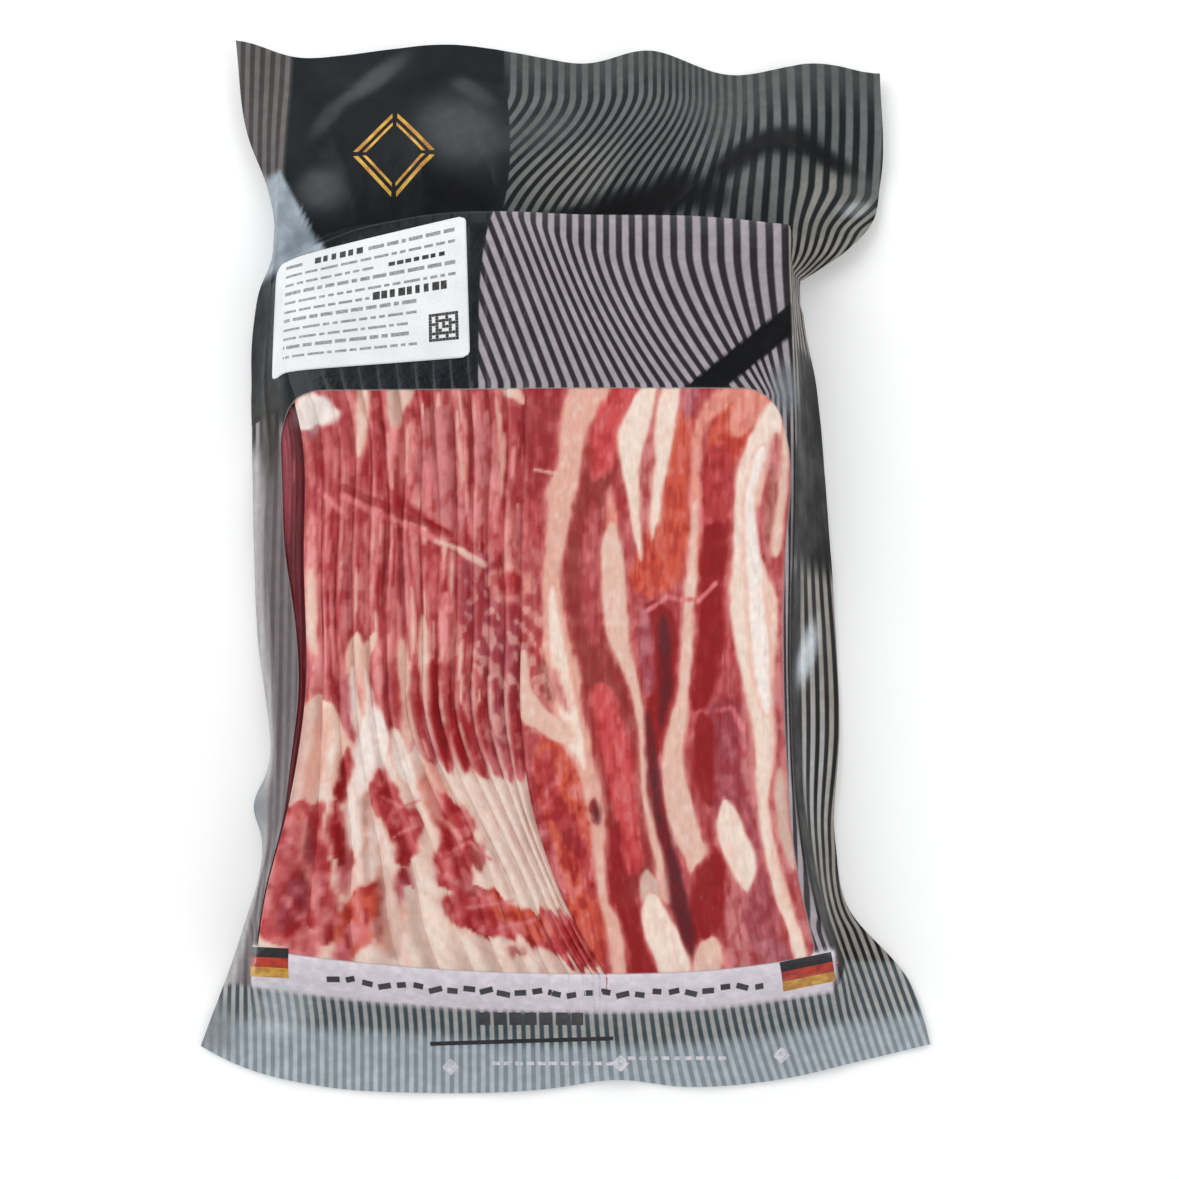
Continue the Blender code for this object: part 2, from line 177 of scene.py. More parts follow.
GATHER_RADIUS = 19.0
GATHER_SPREAD = 10.0
GATHER_HEIGHT = 1.5
GATHER_FOLDS = 7.0

# Label, as in the solid
LABEL_CORNERS = ((-83.0, 44.8), (-26.6, 48.8), (-28.2, 90.2), (-82.2, 77.0))
LABEL_UNDER = 0.12
LABEL_OVER = 0.32

# Fine creases of the film: start, end, half width, height
CREASES = (
    ((-60, 96), (-74, 138), 2.4, 0.9), ((-40, 98), (-46, 132), 3.0, 0.7), ((-52, 128), (-30, 134), 4.0, 0.8),
    ((-18, 97), (-28, 122), 2.6, -0.9), ((-22, 122), (4, 136), 2.6, 0.7), ((8, 97), (24, 126), 2.6, 0.9),
    ((30, 97), (44, 112), 2.4, 1.0), ((44, 112), (60, 117), 2.6, 1.1), ((60, 117), (78, 110), 2.6, 1.0),
    ((66, 84), (84, 96), 1.4, 0.9), ((67, 80), (86, 90), 1.2, 0.8), ((65, 88), (80, 104), 1.6, 0.8),
    ((72, 60), (66, 84), 1.5, 0.8), ((70, 30), (74, 0), 1.6, 0.7), ((71, -20), (70, -44), 1.8, 0.9),
    ((72, -50), (68, -86), 1.5, 0.6), ((-84, 30), (-86, -10), 1.8, 0.7), ((-80, -30), (-82, -66), 1.6, 0.7),
    ((-86, -112), (-72, -140), 2.2, 0.9), ((-60, -126), (-58, -148), 2.4, 0.5),
    ((78, -104), (84, -122), 1.8, 1.2),
    ((84, -122), (97, -140), 1.8, 0.8), ((6, -132), (14, -148), 2.2, 0.7), ((40, -130), (46, -146), 2.4, 0.5),
)

# Window of clear film, then the pale band across the near wall
WINDOW_TOP = 39.7
WINDOW_CORNER = 15.0
WINDOW_RIGHT_CORNER = 9.0
WINDOW_NEAR_CORNER = 3.0
WINDOW_LEFT_SHARE = (
    (-115, 0.16), (-84, 0.16), (-64, 0.3), (-45, 0.24), (-20, 0.34), (0, 0.56), (16, 0.66), (42, 0.66),
)
WINDOW_RIGHT = (
    (-130, 71), (-111, 65.8), (-87, 61), (-63, 59.4), (-30, 58.9), (-8, 59.8), (20, 61.6), (40, 58), (60, 58),
)
WINDOW_NEAR = ((-90, -112), (-60, -116), (0, -119.5), (40, -118.5), (76, -113.5))
BAND_DEPTH = 9.6
BAND_LEFT = -86.0
BAND_RIGHT = 73.0

# Stripes of the print
FACE_STRIPES = ((-100, -22.0), (-23, 0.0), (26, 14.0), (64, 22.6), (100, 31.0))
FACE_SWEEP = 19.0
FACE_DEPTH = 50.0
FLAP_LEAN = 27.0
SIDE_STRIPES = 5.5
CORNER_STRIPES = 8.8
END_PERIOD = 2.45
EDGE_PERIOD = 2.8
END_LAG = 7.3
LEFT_LAG = 10.9
PANEL_RIGHT = ((36, -24.6), (90, -21.0), (98, -18.5), (150, -18.5))
PANEL_LEFT_ON_FLAP = -80.5
GUSSET_EDGE = ((-84, 111), (-70, 85))
WEDGE_NEAR = (30, 33)
WEDGE_FAR = (70, 66)
WEDGE_HALF = 3.6

# Colours as seen under the studio light, 0 to 255
TONES = {
    "white": (240, 230, 222),
    "cream": (236, 214, 198),
    "pale": (228, 202, 190),
    "fat": (224, 184, 168),
    "blush": (222, 170, 152),
    "beige": (206, 172, 158),
    "putty": (190, 160, 148),
    "salmon": (226, 148, 130),
    "pink": (224, 138, 138),
    "vein": (220, 126, 130),
    "rose": (192, 112, 112),
    "mauve": (170, 94, 104),
    "brown": (156, 96, 86),
    "lean": (176, 74, 78),
    "bright": (200, 72, 72),
    "brick": (142, 48, 44),
    "orange": (200, 80, 58),
    "red": (176, 54, 56),
    "plum": (152, 62, 72),
    "deep": (150, 38, 44),
    "crimson": (138, 12, 16),
    "maroon": (88, 16, 24),
    "face_dark": (42, 37, 41),
    "face_light": (160, 152, 157),
    "flap_dark": (22, 26, 29),
    "flap_light": (101, 106, 105),
    "flap_rim": (88, 92, 91),
    "panel": (18, 23, 28),
    "edge_dark": (66, 63, 63),
    "edge_light": (106, 102, 100),
    "side_dark": (14, 13, 14),
    "side_light": (150, 145, 137),
    "skirt": (92, 81, 83),
    "skirt_pale": (184, 182, 184),
    "gusset": (172, 184, 194),
    "tab": (134, 142, 146),
    "band": (226, 216, 224),
    "end_dark": (66, 78, 84),
    "end_light": (172, 172, 168),
    "flange": (178, 186, 192),
    "flange_line": (146, 156, 162),
    "corner_grey": (126, 131, 136),
    "sheen": (214, 220, 226),
    "moss": (50, 47, 42),
    "slate": (12, 12, 14),
    "night": (8, 9, 12),
    "ink": (34, 34, 38),
    "grey_ink": (160, 162, 166),
    "gold": (222, 176, 66),
    "amber": (176, 116, 38),
    "flag_red": (196, 66, 40),
    "flag_gold": (226, 180, 70),
    "paper": (238, 240, 241),
}

# Streaks of the last slice: tone, then y, x and half width at places along the streak
WHOLE_STREAKS = (
    ("deep", ((46, -6, 5.0), (30, -7, 4.6), (17, -8, 3.0), (8, -9, 1.5))),
    ("brick", ((30, 12.5, 5), (10, 7, 4.8), (-12, 4, 5), (-27, 6, 5.2), (-42, 11, 6.6), (-56, 14, 6.6),
               (-72, 15.5, 5.4), (-89, 17.3, 6.6), (-99, 18, 5))),
    ("bright", ((46, 17, 5), (29, 12.5, 5), (20, 10, 3.4), (13, 8.5, 1.8))),
    ("bright", ((-42, 9, 3.0), (-58, 13, 4.2), (-76, 16, 3.4), (-94, 18, 3.0))),
    ("lean", ((8, 7.6, 1.4), (-12, 6.2, 2.0), (-32, 8, 1.6))),
    ("rose", ((34, 23, 1.6), (14, 21.8, 2.3), (-6, 22, 1.8))),
    ("orange", ((38, 33.5, 1.4), (25, 32, 3), (17, 30.5, 3.4), (6, 29.5, 4.2), (-5, 27, 6.4),
                (-12, 24.5, 7.0), (-19, 23, 5))),
    ("mauve", ((46, 35, 2.4), (30, 33.4, 1.4))),
    ("orange", ((46, 50, 4.2), (34, 48.6, 6.4), (29, 46.8, 6), (21, 43.5, 4.8), (15, 42.5, 3.5))),
    ("salmon", ((46, 51, 3.6), (33, 50, 4.6), (25, 47, 2.4))),
    ("red", ((24, 42, 3.8), (10, 41.4, 4.4), (0, 41, 4.2), (-8, 41, 3.6))),
    ("crimson", ((2, 40.8, 3.4), (-20, 39, 4.2), (-34, 38.6, 4.2), (-50, 35.6, 3.0))),
    ("crimson", ((-20, 24.5, 4.4), (-34, 26, 5.2), (-48, 26, 4.6), (-62, 24.4, 2.6))),
    ("maroon", ((-24, 26.5, 1.3), (-40, 27, 1.6), (-54, 26, 1.0))),
    ("mauve", ((-22, 21.2, 1.4), (-34, 21.8, 1.9), (-46, 22.4, 1.4))),
    ("plum", ((-46, 44, 4), (-55, 45, 8), (-68, 44.5, 8), (-80, 47, 6), (-90, 50, 5))),
    ("crimson", ((-50, 37.6, 2.4), (-58, 37.4, 3.0), (-68, 37.4, 2.6), (-75, 38.4, 2))),
    ("rose", ((-48, 49, 2), (-62, 49.6, 2.6), (-76, 50.4, 2))),
    ("crimson", ((-86, 38.8, 3.4), (-94, 38.6, 4.0), (-104, 37.8, 4.6), (-112, 35.5, 3.2))),
    ("plum", ((-90, 50, 4.6), (-104, 51.4, 5.4), (-113, 51.5, 4.4))),
    ("mauve", ((-110, 55, 5), (-122, 56, 6))),
    ("rose", ((-92, 44.6, 1.6), (-104, 45, 2.2), (-120, 47, 4.4))),
    ("vein", ((-112, 41, 1.4), (-123, 44, 2.4))),
    ("orange", ((-57, -5, 3.5), (-66, -2, 5.4), (-78, 0.4, 6.2), (-84, 1.8, 5.4), (-95, 4.4, 5.0),
                (-105, 6, 4.2), (-112, 7.6, 3.2), (-118, 9, 1.8))),
    ("red", ((-60, -5.6, 2.2), (-72, -4.2, 2.2), (-90, 6, 2.2), (-100, 7.6, 2))),
    ("crimson", ((-79, 13, 2.2), (-90, 13.4, 2.4), (-100, 15.4, 3.4), (-111, 18.6, 3.8),
                 (-124, 20.4, 4.8))),
    ("blush", ((46, 8.4, 5.6), (39, 6.3, 5.4), (29, 2.4, 3.6), (17.6, 0.9, 3.3), (10, -1.3, 3.7),
               (2.5, -2, 3.1), (-5, -3, 2.5), (-12, -3.7, 2.4), (-20, -3.5, 2.6), (-27, -2.8, 3),
               (-34.5, -2, 4), (-42, -0.4, 4.2), (-49, 0.4, 3.8), (-56, 1.6, 4.4), (-62, 4.4, 2.9),
               (-70, 6.6, 2.3), (-79, 8.4, 1.9), (-89, 9.2, 1.2), (-100, 10.2, 1.3), (-107, 12.6, 2.1),
               (-116, 14.2, 1.9), (-124, 14.4, 2.2))),
    ("cream", ((-16, -3.6, 0.9), (-30, -2.4, 1.8), (-44, -0.4, 2.4), (-56, 2, 2.2), (-66, 5.6, 0.9))),
    ("fat", ((-33, -11.6, 1.6), (-38, -12.4, 2.3), (-44, -11.8, 2.7), (-49, -9.4, 3.2), (-54, -4.6, 3.6),
             (-59, 0, 3.2))),
    ("brown", ((-36, -6.6, 1.1), (-41, -5.6, 1.4), (-47, -3.6, 1.1))),
    ("rose", ((-38, -3, 0.6), (-44, -2, 0.8), (-50, 0.4, 0.5))),
    ("maroon", ((-73, 7.6, 0.7), (-77, 8, 1.0), (-80, 8.4, 0.5))),
    ("salmon", ((12, 12, 0.7), (4, 12.4, 1.6), (-4, 12.6, 2.2))),
    ("fat", ((2, 12.5, 1.6), (-5, 12.6, 2.7), (-12, 12.8, 3.2), (-20, 13.2, 3.3), (-27, 13.8, 3.1),
             (-34, 15.6, 2.3), (-42, 18, 1.4), (-56, 20.4, 1.1), (-64, 20.9, 1.2), (-78, 22.4, 1.0),
             (-89, 25, 1.6), (-101, 27.4, 1.9))),
    ("cream", ((46, 24.4, 1.8), (39, 22.8, 2.4), (33, 20.8, 3.4), (27, 18.8, 4.0), (22, 17.8, 3.3),
               (16, 17.9, 2.5), (8, 18.7, 1.5), (-3, 19.9, 0.9), (-8, 20.4, 0.4))),
    ("cream", ((46, 30.4, 2.2), (39, 28.9, 2.4), (29, 27.7, 2.7), (18, 26, 1.9), (10, 24.8, 1.5),
               (2, 24.4, 1.1), (-3, 24.3, 0.5))),
    ("salmon", ((46, 47.6, 2.0), (38, 44.4, 2.6), (33, 39.6, 2.4), (27, 36.6, 1.8), (18, 35.6, 1.5),
                (2, 35.5, 1.5), (-10, 34.8, 1.8), (-18, 33.8, 1.7))),
    ("fat", ((8, 35.6, 0.7), (-12, 34.7, 1.2), (-27, 33.1, 1.4), (-42, 32, 1.6), (-50, 30.9, 2.0),
             (-58, 29.4, 2.4), (-68, 29, 3.2), (-78, 31, 3.8), (-84, 32.6, 3.6), (-89, 34.6, 3.0),
             (-93, 33.4, 1.6))),
    ("maroon", ((-50, 21.9, 0.8), (-60, 23, 1.5), (-70, 24, 1.4), (-79, 25.4, 1.6), (-90, 28.2, 1.7),
                (-101, 30.4, 2.3), (-109, 32.4, 2.1), (-117, 33.8, 1.2))),
    ("cream", ((-74, 42.6, 2), (-79, 43.6, 3.0), (-84, 44.6, 4.0), (-89, 46.4, 3.8), (-94, 47.6, 2.6),
               (-98, 48, 1.4))),
    ("beige", ((-93, 21.8, 2), (-97, 22.6, 2.8), (-102, 23.4, 3))),
    ("cream", ((-99, 23.2, 2.6), (-106, 24.6, 4.0), (-112, 26.8, 4.1), (-118, 28.8, 4.2),
               (-124, 29.4, 4.2))),
    ("fat", ((-110, 38.6, 2.6), (-114, 38.2, 3.6), (-119, 37.4, 3.8), (-124, 37.4, 4))),
    ("cream", ((40, 59, 1.6), (35, 57.2, 2.2), (29, 56, 3.5), (22, 53.8, 4.4), (15, 51.6, 4.4),
               (9, 50.2, 3.7), (2, 48.6, 2.8), (-5, 48.6, 3.0), (-12, 50, 4.8), (-20, 51.1, 6.2),
               (-28, 51.3, 6.0), (-35, 52, 5.2), (-43, 52.8, 4.3), (-52, 53.6, 3.7), (-62, 54, 2.9),
               (-70, 52.9, 1.9), (-80, 53.5, 1.8), (-90, 55.4, 1.7), (-100, 58, 1.7), (-108, 60.8, 1.6),
               (-118, 63.8, 1.5))),
    ("white", ((24, 54.6, 1.6), (8, 50.6, 1.4), (-14, 51.4, 2.2), (-30, 52.4, 2.4), (-50, 54, 1.5))),
    ("rose", ((27, 58.2, 1.2), (10, 56.6, 1.9), (-3, 55.4, 1.7), (-10, 54.8, 0.8))),
    ("brown", ((18, 57.4, 0.8), (6, 56.4, 1.2), (-4, 55.4, 0.8))),
    ("fat", ((32, 61.4, 0.9), (17, 59.9, 1.2), (2, 58.4, 1.4), (-8, 57, 1.6))),
    ("rose", ((-10, 59.6, 1.2), (-27, 59.3, 1.6), (-44, 57.8, 1.5), (-58, 58.2, 1.8), (-70, 57.6, 2.2),
              (-80, 58, 2.7), (-90, 60, 2.6), (-101, 62.6, 2.3), (-112, 65.8, 1.8))),
    ("beige", ((-66, 57.6, 1.4), (-80, 58.2, 1.5), (-92, 60.6, 1.2))),
)

# Streaks that run through the strips, in the same form
STRIP_STREAKS = (
    ("deep", ((46, -49.5, 2.2), (28, -50, 2.0))),
    ("beige", ((46, -46, 3.8), (37, -46, 3.4), (29, -47.6, 1.4))),
    ("pink", ((31, -47.4, 1.2), (14, -48.8, 0.8))),
    ("fat", ((46, -56.8, 1.5), (31, -56.2, 1.3), (21, -56.6, 0.7))),
    ("blush", ((29, -43.2, 1.0), (15, -43.8, 0.9))),
    ("fat", ((18, -38.8, 1.2), (3, -37.4, 0.9))),
    ("blush", ((27, -28.6, 0.9), (13, -28.4, 0.8))),
    ("rose", ((36, -35, 4.0), (20, -36, 6.0), (4, -33, 5.0), (-4, -31, 3.0))),
    ("rose", ((34, -22, 2.5), (14, -22, 3.4), (-4, -24, 2.6))),
    ("deep", ((46, -6, 5.6), (32, -7, 5.0), (18, -8, 3.4), (10, -9, 1.8))),
    ("deep", ((13, -50, 1.4), (5, -43, 1.6), (1, -36, 1.2))),
    ("pink", ((30, -42, 0.9), (12, -42.6, 0.9))),
    ("vein", ((18, -38, 1.2), (2, -37, 0.8))),
    ("pink", ((34, -28, 0.8), (18, -28, 0.8))),
    ("pink", ((13, -25, 1.0), (-4, -25.4, 1.0))),
    ("pink", ((17, -19.6, 0.8), (-2, -19.6, 0.8))),
    ("pink", ((46, -31, 1.4), (34, -31, 0.8))),
    ("fat", ((46, -16, 1.6), (36, -13, 1.8), (34, -10, 0.9))),
    ("plum", ((-6, -24, 4), (-16, -22, 8), (-30, -18, 8), (-44, -14, 6), (-52, -12, 4))),
    ("pink", ((6, -69.8, 1.4), (-8, -69.6, 1.8), (-20, -69.2, 2.3), (-30, -68.6, 2.1), (-40, -66.6, 1.4),
              (-52, -63, 1.2))),
    ("fat", ((-10, -69.7, 0.9), (-24, -69.2, 1.4), (-34, -68, 1.0))),
    ("rose", ((0, -59.5, 1.2), (-28, -59.4, 1.2))),
    ("pink", ((-8, -54, 0.9), (-30, -54, 0.9))),
    ("pink", ((-14, -43.4, 0.8), (-28, -43, 0.8))),
    ("fat", ((-28, -57, 1.8), (-34, -56.8, 2.8), (-46, -57.6, 1.5), (-60, -58.4, 1.4))),
    ("fat", ((-29, -52.6, 2.2), (-35, -53.6, 1.4), (-58, -54.2, 1.2))),
    ("pink", ((-31, -50, 1.4), (-58, -50.8, 0.9))),
    ("deep", ((-36, -46.6, 1.8), (-50, -46.4, 2.5), (-57, -44.8, 2.2), (-60, -44, 1.2))),
    ("fat", ((-30, -44.2, 1.3), (-44, -43, 1.5), (-60, -41.8, 1.4))),
    ("deep", ((-38, -39.8, 1.5), (-50, -40, 1.9), (-58, -38.6, 1.2))),
    ("fat", ((-24, -38.8, 1.1), (-36, -38, 1.4), (-50, -36.8, 1.3))),
    ("crimson", ((-36, -35, 1.8), (-50, -34.4, 2.1), (-58, -33, 2.1), (-65, -31.6, 1.2))),
    ("pink", ((-16, -32.6, 2.4), (-24, -32.4, 2.4), (-33, -33, 1.4))),
    ("crimson", ((-50, -29, 1.6), (-58, -27.8, 1.9), (-66, -26.4, 1.1))),
    ("deep", ((-50, -24.2, 1.4), (-60, -23.2, 2.0), (-67, -22, 1.2))),
    ("plum", ((-48, -18.4, 1.6), (-60, -17.4, 2.2), (-67, -17, 1.4))),
    ("deep", ((-50, -13, 1.6), (-59, -11.8, 2.2), (-66, -11.4, 1.2))),
    ("cream", ((-46, -66, 4.4), (-58, -65.5, 4.6), (-70, -67, 3.8))),
    ("beige", ((-46, -67.6, 2.0), (-58, -69, 3.2), (-70, -71.4, 3.6), (-78, -73, 2.4))),
    ("blush", ((-48, -64.4, 0.9), (-60, -66, 1.5), (-72, -68, 1.4), (-78, -67, 0.8))),
    ("putty", ((-52, -70.6, 0.7), (-66, -72.6, 1.0), (-75, -74.4, 0.7))),
    ("mauve", ((-40, -58.6, 2.2), (-50, -58.4, 2.1), (-58, -57, 1.2))),
    ("white", ((-37, -57.8, 0.7), (-47, -57, 1.0), (-56, -55, 2.2))),
    ("white", ((-38, -53.8, 0.7), (-48, -52.8, 1.1), (-57, -51.6, 4.4), (-66, -53.6, 4.0),
               (-78, -56.4, 1.9), (-96, -54.6, 1.5))),
    ("white", ((-70, -52, 1.2), (-84, -52, 1.3), (-96, -50.6, 1.0))),
    ("white", ((-54, -45.6, 1.6), (-66, -43, 2.4), (-74, -39.6, 1.4))),
    ("putty", ((-71, -54, 0.5), (-76, -54.2, 0.9), (-82, -54, 0.5))),
    ("putty", ((-84, -53.4, 0.6), (-90, -53, 0.9), (-96, -52.4, 0.6))),
    ("beige", ((-66, -36.6, 1.6), (-78, -31.4, 1.2))),
    ("beige", ((-90, -47.6, 1.6), (-100, -46.4, 2.6), (-114, -45, 3.0))),
    ("fat", ((-100, -38, 2.0), (-110, -36, 4.0), (-118, -34, 3.0))),
    ("rose", ((-109, -38.6, 0.8), (-114, -36.4, 1.4), (-118, -34.6, 0.8))),
    ("red", ((-72.5, -69.8, 5.0), (-80, -70.8, 7.0), (-90, -71, 8.0), (-100, -71, 9.8), (-107, -72, 10.4),
             (-113, -74, 8.6))),
    ("lean", ((-78, -73, 1.6), (-88, -73.6, 2.6), (-98, -75, 2.2))),
    ("plum", ((-78, -68.6, 1.4), (-86, -69, 1.8), (-92, -68.6, 1.2))),
    ("plum", ((-92, -70, 2.4), (-103, -73.6, 3.4), (-109, -75, 2.6))),
    ("lean", ((-92, -65.4, 1.2), (-102, -64.6, 2.4), (-110, -65, 1.8))),
    ("salmon", ((-75, -70.6, 0.7), (-88, -70.4, 0.8), (-98, -67.4, 0.6))),
    ("rose", ((-90, -78.6, 1.4), (-104, -81.4, 1.6))),
    ("pink", ((-106, -68, 3), (-113, -70, 4.4), (-118, -72, 5))),
    ("crimson", ((-60, -58.6, 0.9), (-67, -58.9, 1.9), (-75, -60.2, 1.1))),
    ("crimson", ((-74, -61.4, 1.0), (-80, -61, 1.7), (-86, -60.4, 2.0), (-91, -59.8, 0.8))),
    ("rose", ((-88, -58, 2.0), (-98, -59, 1.6))),
    ("orange", ((-95, -52, 2.4), (-101, -54, 4.6), (-109, -56.4, 5.0), (-115, -57, 3.6))),
    ("vein", ((-107, -57, 3.4), (-115, -59, 3.0), (-120, -57.5, 2.4))),
    ("brown", ((-96, -49.2, 0.6), (-112, -49.6, 0.6))),
    ("red", ((-66, -50, 1.6), (-70, -49.4, 2.6), (-76, -46.4, 4.0), (-82, -43, 4.4), (-90, -42, 2.8))),
    ("plum", ((-90, -43.2, 1.4), (-96, -42.4, 2.5), (-101, -42, 2.0), (-105, -41.4, 0.8))),
    ("salmon", ((-65, -37.6, 1.6), (-73, -34.6, 3.0), (-80, -33, 3.2))),
    ("red", ((-72, -32.4, 2.4), (-79, -29.6, 3.8), (-86, -29, 4.2), (-92, -30, 5.0), (-98, -27.6, 5.4))),
    ("brown", ((-84, -24.6, 1.8), (-92, -22.6, 1.4))),
    ("red", ((-97, -27, 5.0), (-102, -21.6, 6.0), (-106, -13, 6.4), (-109, -6, 5.0), (-115, 3, 3.4),
             (-119, 8, 2.2))),
    ("orange", ((-99, -20, 3.0), (-105, -12, 4.0), (-111, -4, 3.0))),
    ("brown", ((-112, -15, 0.8), (-116, -11.4, 1.0))),
    ("mauve", ((-114, -26, 0.8), (-119, -22, 1.2))),
    ("cream", ((-96, -40.5, 3.2), (-106, -36, 6.2), (-116, -30, 8.6), (-122, -24, 9))),
)

# Thin straight veins and the fold that crosses the strips: tone, ends, half width
VEINS = (
    # The brick, deep and crimson lines along the far side of the fold are its painted shadow.
    ("brick", (-61, 11.8), (-32, -1.2), 1.2),
    ("deep", (-52, 8.4), (-44, 4.8), 0.9),
    ("crimson", (-38.6, 2.8), (-32.6, -0.4), 0.8),
    ("vein", (-61.6, 9.7), (-33.1, -4.0), 0.95),
    ("fat", (-35.4, -3.2), (-28.0, -6.2), 0.7),
    ("fat", (-28.6, -6.4), (-22.2, -9.4), 0.9),
    ("vein", (-67.6, 11.6), (-60.4, 3.4), 0.75),
    ("vein", (22, -22.4), (27.4, -18.4), 0.6),
    ("vein", (27.4, -18.4), (36, -20.2), 0.6),
    ("vein", (36, -20.2), (40.6, -14.8), 0.6),
    ("vein", (41, -50), (44.6, -49.4), 0.7),
    ("vein", (44.6, -49.4), (47.6, -55), 0.7),
    ("fat", (-8.5, 16.4), (-1, 15.6), 0.4),
    ("vein", (-51, -71), (-44, -76), 0.5),
    ("vein", (-44, -76), (-39, -74), 0.4),
    ("vein", (-46, -84), (-40, -80), 0.5),
    ("salmon", (-34, -78), (-28, -84), 0.7),
    ("vein", (-33, -88), (-25, -85), 0.6),
    ("vein", (-25, -85), (-20, -90), 0.5),
    ("rose", (-30, -95), (-20, -99), 0.9),
    ("vein", (-26, -102), (-14, -100), 0.5),
    ("vein", (-18, -108), (-8, -105), 0.5),
    ("vein", (-74, -84), (-68, -92), 0.6),
    ("vein", (-76, -98), (-70, -106), 0.6),
    ("rose", (-66, -96), (-64, -106), 0.9),
    ("vein", (-56, -100), (-53, -108), 0.5),
)

# Where the lean of the strips ends in rounded lobes over the fan of fat
FAT_SEAM = ((-84, -44), (-70, -50), (-58, -56), (-45, -59), (-30, -65.5), (-14, -67.5), (9, -66))
FAT_SEAM_LOBE = 3.0

# Soft patches of light and shade on the printed film: tone, x, y, half sizes, turn, strength
FILM_PATCHES = (
    ("night", 10, 97, 18, 2.6, 0.06, 0.95),
    ("night", 22, 100, 17, 4.6, 0.12, 0.95),
    ("night", 31, 104, 8, 5.4, 0.5, 0.9),
    ("night", 41, 102, 6, 5.0, 0.0, 0.8),
    ("night", 51, 114, 12, 4.0, 0.6, 0.95),
    ("night", 64, 118, 10, 4.8, 0.0, 0.95),
    ("night", 75, 114.5, 10, 3.2, -0.35, 0.9),
    ("flap_rim", 45, 122, 7, 4.0, 0.9, 0.5),
    ("flap_rim", 46, 131, 14, 7.0, 0.1, 0.5),
    ("flap_rim", -8, 122, 13, 6.0, 0.5, 0.45),
    ("flap_rim", -57, 139, 13, 3.4, 0.67, 0.75),
    ("flap_rim", -70, 127, 9, 3.0, 1.0, 0.5),
    ("flap_rim", -31, 121, 14, 11, -0.4, 0.75),
    ("flap_rim", -28, 135, 9, 3.0, -0.6, 0.55),
    ("flap_rim", -71, 104, 7.5, 7, 0.4, 0.75),
    ("night", -40, 138, 11, 4, 0.5, 0.7),
    ("night", -34, 103, 13, 4.2, -0.35, 0.85),
    ("night", -68, 116, 7, 6, 0.2, 0.6),
    ("sheen", 66.8, -32, 3.0, 11.0, -0.3, 0.9),
    ("sheen", -77, -129, 9.0, 7.0, 0.2, 0.55),
    ("corner_grey", -98, -132, 7.0, 10.0, 0.5, 0.8),
    ("tab", -88, -73, 4.4, 9.0, 0.0, 0.9),
    ("moss", -84, 32, 3.4, 15.0, 0.0, 0.85),
    ("night", -79, 36, 3.0, 4.0, 0.0, 0.8),
    ("corner_grey", 61, 40, 4.6, 8.0, 0.0, 0.75),
    ("night", 67.5, 26, 3.4, 16.0, 0.0, 0.9),
    ("flap_rim", 86, 106, 7, 5.0, 0.0, 0.5),
    ("sheen", 84, 100, 5, 2.4, 0.3, 0.4),
)

# Painted highlights where the light stripes alone are paler, in the same form
LIGHT_PATCHES = (
    ("side_light", 78, 101, 14, 12, 0.0, 0.8),
    ("side_light", 0, 107, 16, 10, 0.3, 0.5),
    ("skirt_pale", 69, -62, 5, 22, 0.0, 0.7),
)

# Pale glints of the clear film: x, y, half sizes, turn, strength
FILM_GLINTS = (
    (-70.5, 34.2, 5.6, 3.4, 0.55, 0.2),
    (-70.0, 30.0, 1.8, 3.8, 0.0, 0.2),
)


def curve(knots, at):
    """Smooth curve through (place, value) knots, read at any places."""
    place = np.array([knot[0] for knot in knots], float)
    value = np.array([knot[1] for knot in knots], float)
    slope = np.gradient(value, place)
    at = np.clip(at, place[0], place[-1])
    i = np.clip(np.searchsorted(place, at) - 1, 0, len(place) - 2)
    width = place[i + 1] - place[i]
    u = (at - place[i]) / width
    rise = value[i + 1] - value[i]
    start = slope[i] * width
    end = slope[i + 1] * width
    return value[i] + u * (start + u * (3 * rise - 2 * start - end + u * (start + end - 2 * rise)))


def mix(a, b, share):
    return a + (b - a) * share


def ease(u):
    u = np.clip(u, 0, 1)
    return u * u * (3 - 2 * u)


def bell(distance, half_width):
    return np.exp(-((distance / half_width) ** 2))


def scatter(i, j, seed):
    """Repeatable random number from 0 to 1 for each pair of whole numbers."""
    value = np.sin(i * 127.1 + j * 311.7 + seed * 74.7) * 43758.5453
    return value - np.floor(value)


def chance(i, j, seed):
    """The same random number for one pair alone."""
    return float(scatter(np.array(i), j, seed))


def grain(x, y, seed):
    """Smooth noise from -1 to 1 with bumps about one unit wide."""
    i = np.floor(x)
    j = np.floor(y)
    u = ease(x - i)
    v = ease(y - j)
    near = mix(scatter(i, j, seed), scatter(i + 1, j, seed), u)
    far = mix(scatter(i, j + 1, seed), scatter(i + 1, j + 1, seed), u)
    return 2 * mix(near, far, v) - 1


def block_left(y):
    return curve(BLOCK_LEFT, y)


def block_right(y):
    return curve(BLOCK_RIGHT, y)


def block_front(x):
    return curve(BLOCK_FRONT, x)


def block_back(x):
    return curve(BLOCK_BACK, x)


def left_foot(y):
    return block_left(y) - curve(LEFT_WALL, y)


def right_foot(y):
    return block_right(y) + curve(RIGHT_WALL, y)


def left_edge(y):
    edge = curve(LEFT_EDGE, y) - SIDE_TAB_OUT * bell(y - SIDE_TAB_Y, SIDE_TAB_HALF)
    return np.minimum(edge, left_foot(y) - LEAST_SKIRT)


def right_edge(y):
    return np.maximum(curve(RIGHT_EDGE, y), right_foot(y) + LEAST_SKIRT)


def front_foot(x):
    return block_front(x) - curve(FRONT_WALL, x)


def back_foot(x):
    return block_back(x) + curve(BACK_WALL, x)


def top_edge(x):
    return curve(TOP_EDGE, x)


